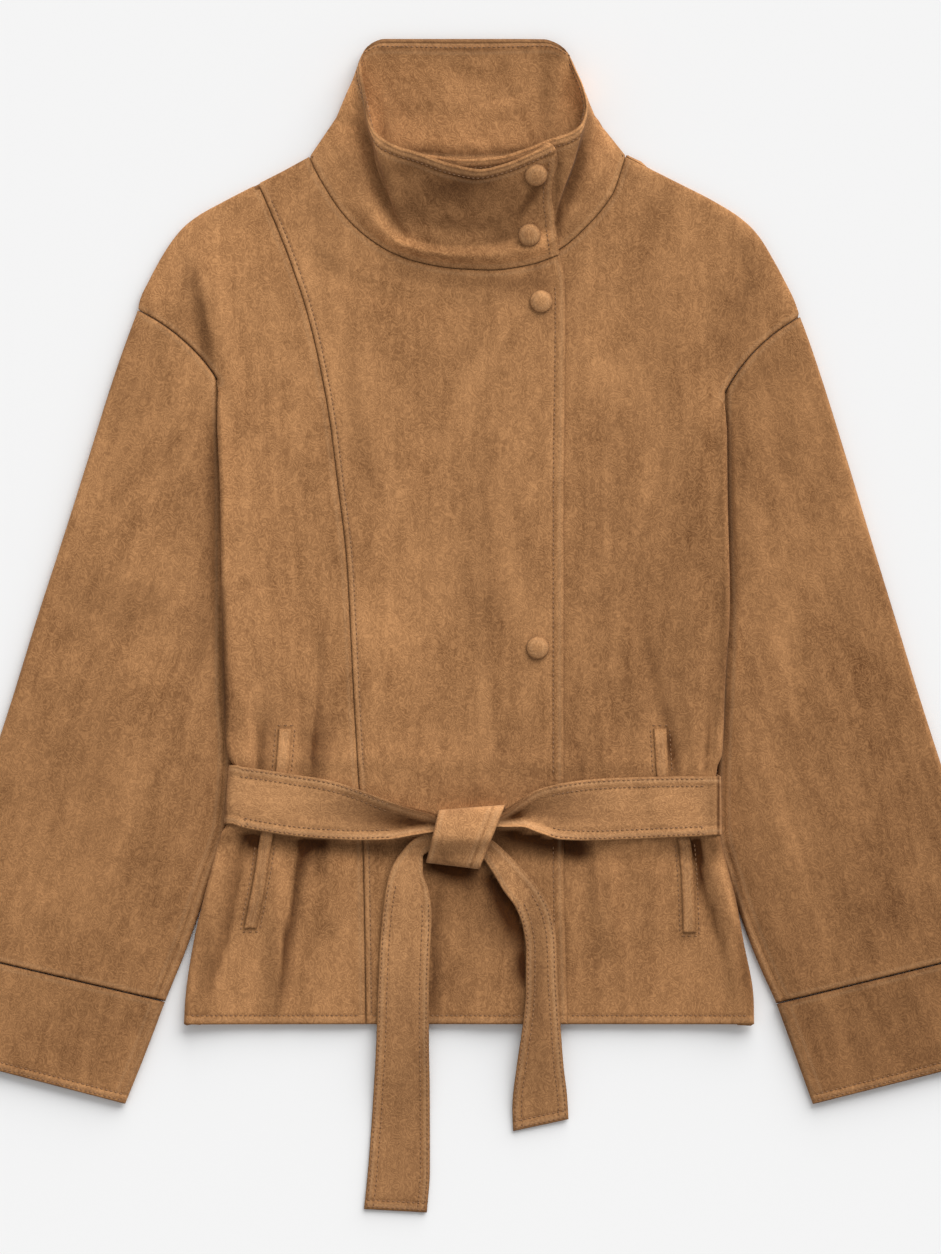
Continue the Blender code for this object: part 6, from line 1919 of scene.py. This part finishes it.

# %% [markdown]
# ## Suede
#
# Suede is the brushed inner side of a hide. Its short nap lies this way and that, so it shows
# cloudy patches, long brush marks and a fine fleck, and it has no gloss, only a soft sheen at
# the edges of a fold. One node group makes that pattern from the place on the hide and darkens
# or lightens it by the tone layer, which holds painted light and shade. A second one darkens a
# thin line along each edge, grime together with painted shade, and lightens a ridge beside it,
# worn nap together with a painted highlight.

# %% Node group helpers
def new_group(name, inputs, outputs):
    """An empty shader node group with these sockets, and its input and output nodes."""
    group = bpy.data.node_groups.new(name, "ShaderNodeTree")
    for kinds, way in ((inputs, "INPUT"), (outputs, "OUTPUT")):
        for label, kind, *value in kinds:
            socket = group.interface.new_socket(label, in_out=way, socket_type="NodeSocket" + kind)
            if value:
                socket.default_value = value[0]
    return group, group.nodes.new("NodeGroupInput"), group.nodes.new("NodeGroupOutput")


def add_node(tree, kind, inputs=(), **settings):
    """A node with its settings and inputs: an input is a value or another node's socket."""
    node = tree.nodes.new("ShaderNode" + kind)
    for key, value in settings.items():
        setattr(node, key, value)
    for key, value in dict(inputs).items():
        if isinstance(value, bpy.types.NodeSocket):
            tree.links.new(value, node.inputs[key])
        else:
            node.inputs[key].default_value = value
    return node


def math_node(tree, operation, first, second=0, third=0):
    """One step of arithmetic between values or sockets."""
    return add_node(tree, "Math", {0: first, 1: second, 2: third}, operation=operation).outputs[0]


def stretched(tree, vector, scale):
    """A place multiplied by a different scale along each way of the hide."""
    return add_node(tree, "Mapping", {"Vector": vector, "Scale": scale}).outputs["Vector"]


def noise(tree, vector, scale, detail, roughness=0.5, distortion=0):
    """A noise texture's grey value."""
    return add_node(tree, "TexNoise", {"Vector": vector, "Scale": scale, "Detail": detail,
                                       "Roughness": roughness, "Distortion": distortion}).outputs["Fac"]


def centred(tree, value, amount):
    """A grey value moved to run either side of 0, times an amount."""
    return math_node(tree, "MULTIPLY", math_node(tree, "SUBTRACT", value, 0.5), amount)


print("group helpers ready")

# %% Nap pattern group
# colours between which the painted shade of the tone layer is mixed
UNSHADED, DEEP_SHADE = (1, 1, 1, 1), (0.15, 0.092, 0.032, 1)


def build_nap_and_painted_light_group():
    group, given, out = new_group(
        "nap_pattern_and_painted_light",
        [("Hide", "Vector"), ("Tone", "Float", 0), ("Cloud Depth", "Float", 0.5),
         ("Nap Depth", "Float", 0.5), ("Dark", "Color", (0.2, 0.1, 0.04, 1)),
         ("Light", "Color", (0.45, 0.27, 0.14, 1))],
        [("Color", "Color"), ("Roughness", "Float"), ("Height", "Float")])
    hide = given.outputs["Hide"]
    clouds = noise(group, stretched(group, hide, (1, 0.5, 1)), 15, 4, 0.6, 0.8)
    marks = noise(group, stretched(group, hide, (1, 0.15, 1)), 105, 4, 0.62, 0.5)
    mottle = noise(group, stretched(group, hide, (1, 0.7, 1)), 110, 4, 0.65, 0.8)
    swirl = noise(group, stretched(group, hide, (1, 0.8, 1)), 125, 1.6, 0.5, 1.1)
    lines = math_node(group, "SINE", math_node(group, "MULTIPLY", swirl, 46))
    lines = math_node(group, "MULTIPLY_ADD", lines, 0.5, 0.5)
    lines = math_node(group, "POWER", lines, 2)
    flecks = noise(group, stretched(group, hide, (1, 0.6, 1)), 1100, 3, 0.6, 0.6)
    strokes = math_node(group, "ADD", math_node(group, "MULTIPLY", lines, 0.45),
                        math_node(group, "MULTIPLY", flecks, 0.55))
    large = math_node(group, "ADD", centred(group, clouds, 1.25), centred(group, marks, 0.8))
    large = math_node(group, "ADD", large, centred(group, mottle, 0.7))
    value = math_node(group, "MULTIPLY_ADD", large, given.outputs["Cloud Depth"], 0.5)
    small = math_node(group, "ADD", centred(group, lines, 0.5), centred(group, flecks, 1.7))
    value = math_node(group, "ADD", value, math_node(group, "MULTIPLY", small, given.outputs["Nap Depth"]))
    mix = add_node(group, "Mix", {"Factor": value, "A": given.outputs["Dark"], "B": given.outputs["Light"]},
                   data_type="RGBA")
    # the tone paints light and shade: below 0 it mixes the colour towards a deep shade, above 0 it brightens
    # it
    tone = given.outputs["Tone"]
    darkening = math_node(group, "MULTIPLY", tone, -1.15)
    shaded = add_node(group, "Mix", {"Factor": darkening, "A": UNSHADED, "B": DEEP_SHADE}, data_type="RGBA")
    lit = math_node(group, "ADD", math_node(group, "MAXIMUM", tone, 0), 1)
    toned = add_node(group, "VectorMath", {0: mix.outputs["Result"], 1: shaded.outputs["Result"]},
                     operation="MULTIPLY")
    toned = add_node(group, "VectorMath", {0: toned.outputs[0], "Scale": lit}, operation="SCALE")
    group.links.new(toned.outputs[0], out.inputs["Color"])
    rough = math_node(group, "ADD", 0.9, centred(group, strokes, 0.16))
    group.links.new(rough, out.inputs["Roughness"])
    height = math_node(group, "ADD", math_node(group, "MULTIPLY", strokes, 0.7),
                       math_node(group, "MULTIPLY", flecks, 0.3))
    height = math_node(group, "ADD", height, math_node(group, "MULTIPLY", mottle, 0.5))
    group.links.new(height, out.inputs["Height"])
    return group


NAP_AND_PAINTED_LIGHT = build_nap_and_painted_light_group()
print("nap pattern has", len(NAP_AND_PAINTED_LIGHT.nodes), "nodes")

# %% Seam wear group
# an edge darkens towards a grime colour that also stands in for painted shade, and a ridge beside it lightens
# towards a worn colour that also stands in for a painted highlight
DIRT_AND_SHADE_COLOUR, WORN_AND_HIGHLIGHT_COLOUR = (0.05, 0.022, 0.008, 1), (0.62, 0.4, 0.22, 1)
RIDGE_AT, RIDGE_HALF = 3.4, 2          # mm from the edge to the lighter ridge, worn nap with a painted highlight, and its half width


def build_wear_and_painted_light_group():
    group, given, out = new_group(
        "seam_wear_and_painted_light",
        [("Color", "Color"), ("Edge", "Float", 99), ("Hide", "Vector"), ("Dirt", "Float", 0.5),
         ("Rub", "Float", 0.15)],
        [("Color", "Color")])
    edge = given.outputs["Edge"]
    uneven = centred(group, noise(group, given.outputs["Hide"], 160, 3), 0.9)
    shifted = math_node(group, "ADD", edge, uneven)
    # dark line along each edge: grime together with painted shade
    dirt_and_shade = add_node(group, "MapRange", {"Value": shifted, "From Min": 1.2, "From Max": 0.1,
                                        "To Min": 0, "To Max": 1}).outputs["Result"]
    from_ridge = math_node(group, "ABSOLUTE", math_node(group, "SUBTRACT", shifted, RIDGE_AT))
    # lighter ridge beside it: worn nap together with a painted highlight
    worn_and_highlight = add_node(group, "MapRange", {"Value": from_ridge, "From Min": RIDGE_HALF, "From Max": 0,
                                          "To Min": 0, "To Max": 1}).outputs["Result"]
    darker = add_node(group, "Mix", {"Factor": math_node(group, "MULTIPLY", dirt_and_shade, given.outputs["Dirt"]),
                                     "A": given.outputs["Color"], "B": DIRT_AND_SHADE_COLOUR},
                      data_type="RGBA")
    lighter = add_node(group, "Mix", {"Factor": math_node(group, "MULTIPLY", worn_and_highlight, given.outputs["Rub"]),
                                      "A": darker.outputs["Result"], "B": WORN_AND_HIGHLIGHT_COLOUR},
                       data_type="RGBA")
    group.links.new(lighter.outputs["Result"], out.inputs["Color"])
    return group


WEAR_AND_PAINTED_LIGHT = build_wear_and_painted_light_group()
print("seam wear has", len(WEAR_AND_PAINTED_LIGHT.nodes), "nodes")

# %% Suede materials
def finish_suede(name, dark, light, cloud_depth, nap_depth, dirt_and_shade, wear_and_highlight):
    """Fills a suede material: nap pattern with painted light and shade, grime and worn ridges along edges
    with painted shade and highlight, then a rough shader with a soft sheen.
    """
    material = MATERIALS[name]
    material.use_nodes = True
    tree = material.node_tree
    shader = tree.nodes["Principled BSDF"]
    edge = add_node(tree, "Attribute", attribute_name="edge_mm").outputs["Fac"]
    tone = add_node(tree, "Attribute", attribute_name="tone").outputs["Fac"]
    hide = add_node(tree, "Attribute", attribute_name="hide").outputs["Vector"]
    nap = add_node(tree, "Group", node_tree=NAP_AND_PAINTED_LIGHT)
    wear_and_painted_light = add_node(tree, "Group", node_tree=WEAR_AND_PAINTED_LIGHT)
    for key, value in (("Tone", tone), ("Hide", hide)):
        tree.links.new(value, nap.inputs[key])
    for key, value in (("Cloud Depth", cloud_depth), ("Nap Depth", nap_depth), ("Dark", dark),
                       ("Light", light)):
        nap.inputs[key].default_value = value
    for key, value in (("Color", nap.outputs["Color"]), ("Edge", edge), ("Hide", hide)):
        tree.links.new(value, wear_and_painted_light.inputs[key])
    wear_and_painted_light.inputs["Dirt"].default_value = dirt_and_shade
    wear_and_painted_light.inputs["Rub"].default_value = wear_and_highlight
    bump = add_node(tree, "Bump", {"Height": nap.outputs["Height"], "Strength": 0.35, "Distance": 0.0006})
    tree.links.new(wear_and_painted_light.outputs["Color"], shader.inputs["Base Color"])
    tree.links.new(nap.outputs["Roughness"], shader.inputs["Roughness"])
    tree.links.new(bump.outputs["Normal"], shader.inputs["Normal"])
    shader.inputs["Specular IOR Level"].default_value = 0.15
    shader.inputs["Sheen Weight"].default_value = 0.05
    shader.inputs["Sheen Roughness"].default_value = 0.5
    shader.inputs["Sheen Tint"].default_value = (1, 0.86, 0.7, 1)
    return material


# dark and light colour, cloud depth, nap depth, edge grime with painted shade, worn ridge with painted
# highlight
finish_suede("suede", (0.125, 0.048, 0.014, 1), (0.632, 0.317, 0.132, 1), 0.62, 0.42, 0.45, 0.1)
finish_suede("belt_suede", (0.135, 0.054, 0.018, 1), (0.69, 0.355, 0.152, 1), 0.45, 0.38, 0.45, 0.14)
finish_suede("button_suede", (0.135, 0.054, 0.018, 1), (0.69, 0.355, 0.15, 1), 0.4, 0.38, 0.5, 0.1)
print("suede finishes:", [name for name in MATERIALS if name != "thread"])

# %% Thread material
def finish_thread():
    material = MATERIALS["thread"]
    material.use_nodes = True
    tree = material.node_tree
    shader = tree.nodes["Principled BSDF"]
    place = add_node(tree, "TexCoord").outputs["Object"]
    tint = noise(tree, place, 400, 2)
    ramp = add_node(tree, "ValToRGB", {"Fac": tint})
    ramp.color_ramp.elements[0].color = (0.15, 0.068, 0.026, 1)
    ramp.color_ramp.elements[1].color = (0.32, 0.155, 0.062, 1)
    twist = add_node(tree, "TexWave", {"Vector": place, "Scale": 900, "Distortion": 2},
                     bands_direction="DIAGONAL")
    bump = add_node(tree, "Bump", {"Height": twist.outputs["Fac"], "Strength": 0.4, "Distance": 0.0001})
    tree.links.new(ramp.outputs["Color"], shader.inputs["Base Color"])
    tree.links.new(bump.outputs["Normal"], shader.inputs["Normal"])
    shader.inputs["Roughness"].default_value = 0.6


finish_thread()
print("thread finish ready")

# %% [markdown]
# ## What each piece is
#
# A table gives, for each piece of cloth, the size it was cut to before it was sewn, how it is
# held, what it rests on and which stitches and buttons go with it, and prints its flat and
# measured areas.

Cut = namedtuple("Cut", "piece width length share held rests_on extras")
CUTS = [  # sizes in metres; share is the cut's share of its rectangle
    Cut(back, 0.505, 0.665, 0.74, "laid", [belt_back, floor], []),
    Cut(front_right_side, 0.19, 0.65, 0.57, "laid", [back], [stitches["right_side"]]),
    Cut(front_right_centre, 0.245, 0.66, 0.61, "laid", [front_left],
        [stitches["right_centre"]] + buttons[2:]),
    Cut(front_left, 0.25, 0.67, 0.67, "laid", [back], [stitches["left"]]),
    Cut(sleeves["right"], 0.36, 0.5, 0.79, "laid", [floor], []),
    Cut(sleeves["left"], 0.36, 0.5, 0.74, "laid", [floor], []),
    Cut(cuffs["right"], 0.355, 0.08, None, "laid", [floor], [stitches["cuff_right"]]),
    Cut(cuffs["left"], 0.355, 0.08, None, "laid", [floor], [stitches["cuff_left"]]),
    Cut(collar, 0.52, 0.1, 0.91, "folded", [front_right_centre, front_left, back],
        [stitches["collar"]] + buttons[:2]),
    Cut(welts["right"], 0.01, 0.152, None, "laid", [front_right_side], []),
    Cut(welts["left"], 0.01, 0.155, None, "laid", [front_left], []),
    Cut(belt_fronts["right"], 0.044, 0.19, None, "gathered", [front_right_side, front_right_centre],
        [stitches["belt_front_right"]]),
    Cut(belt_fronts["left"], 0.044, 0.196, None, "gathered", [front_left, front_right_centre],
        [stitches["belt_front_left"]]),
    Cut(belt_back, 0.044, 0.343, None, "laid", [floor], []),
    Cut(belt_knot, 0.048, 0.07, None, "folded", [front_right_centre], []),
    Cut(tails["right"], 0.044, 0.3, 0.86, "laid", [front_right_centre, floor], [stitches["belt_tail_right"]]),
    Cut(tails["left"], 0.044, 0.24, 0.62, "laid", [front_right_centre, floor], [stitches["belt_tail_left"]]),
]
for cut in CUTS:
    area = None if cut.share is None else cut.share * cut.width * cut.length
    flat_area = area or cut.width * cut.length
    print(f"{cut.piece.name}: flat {flat_area:.4f} m2, measured {AREAS[cut.piece.name]:.4f} m2")
print("sheets:", len(CUTS))
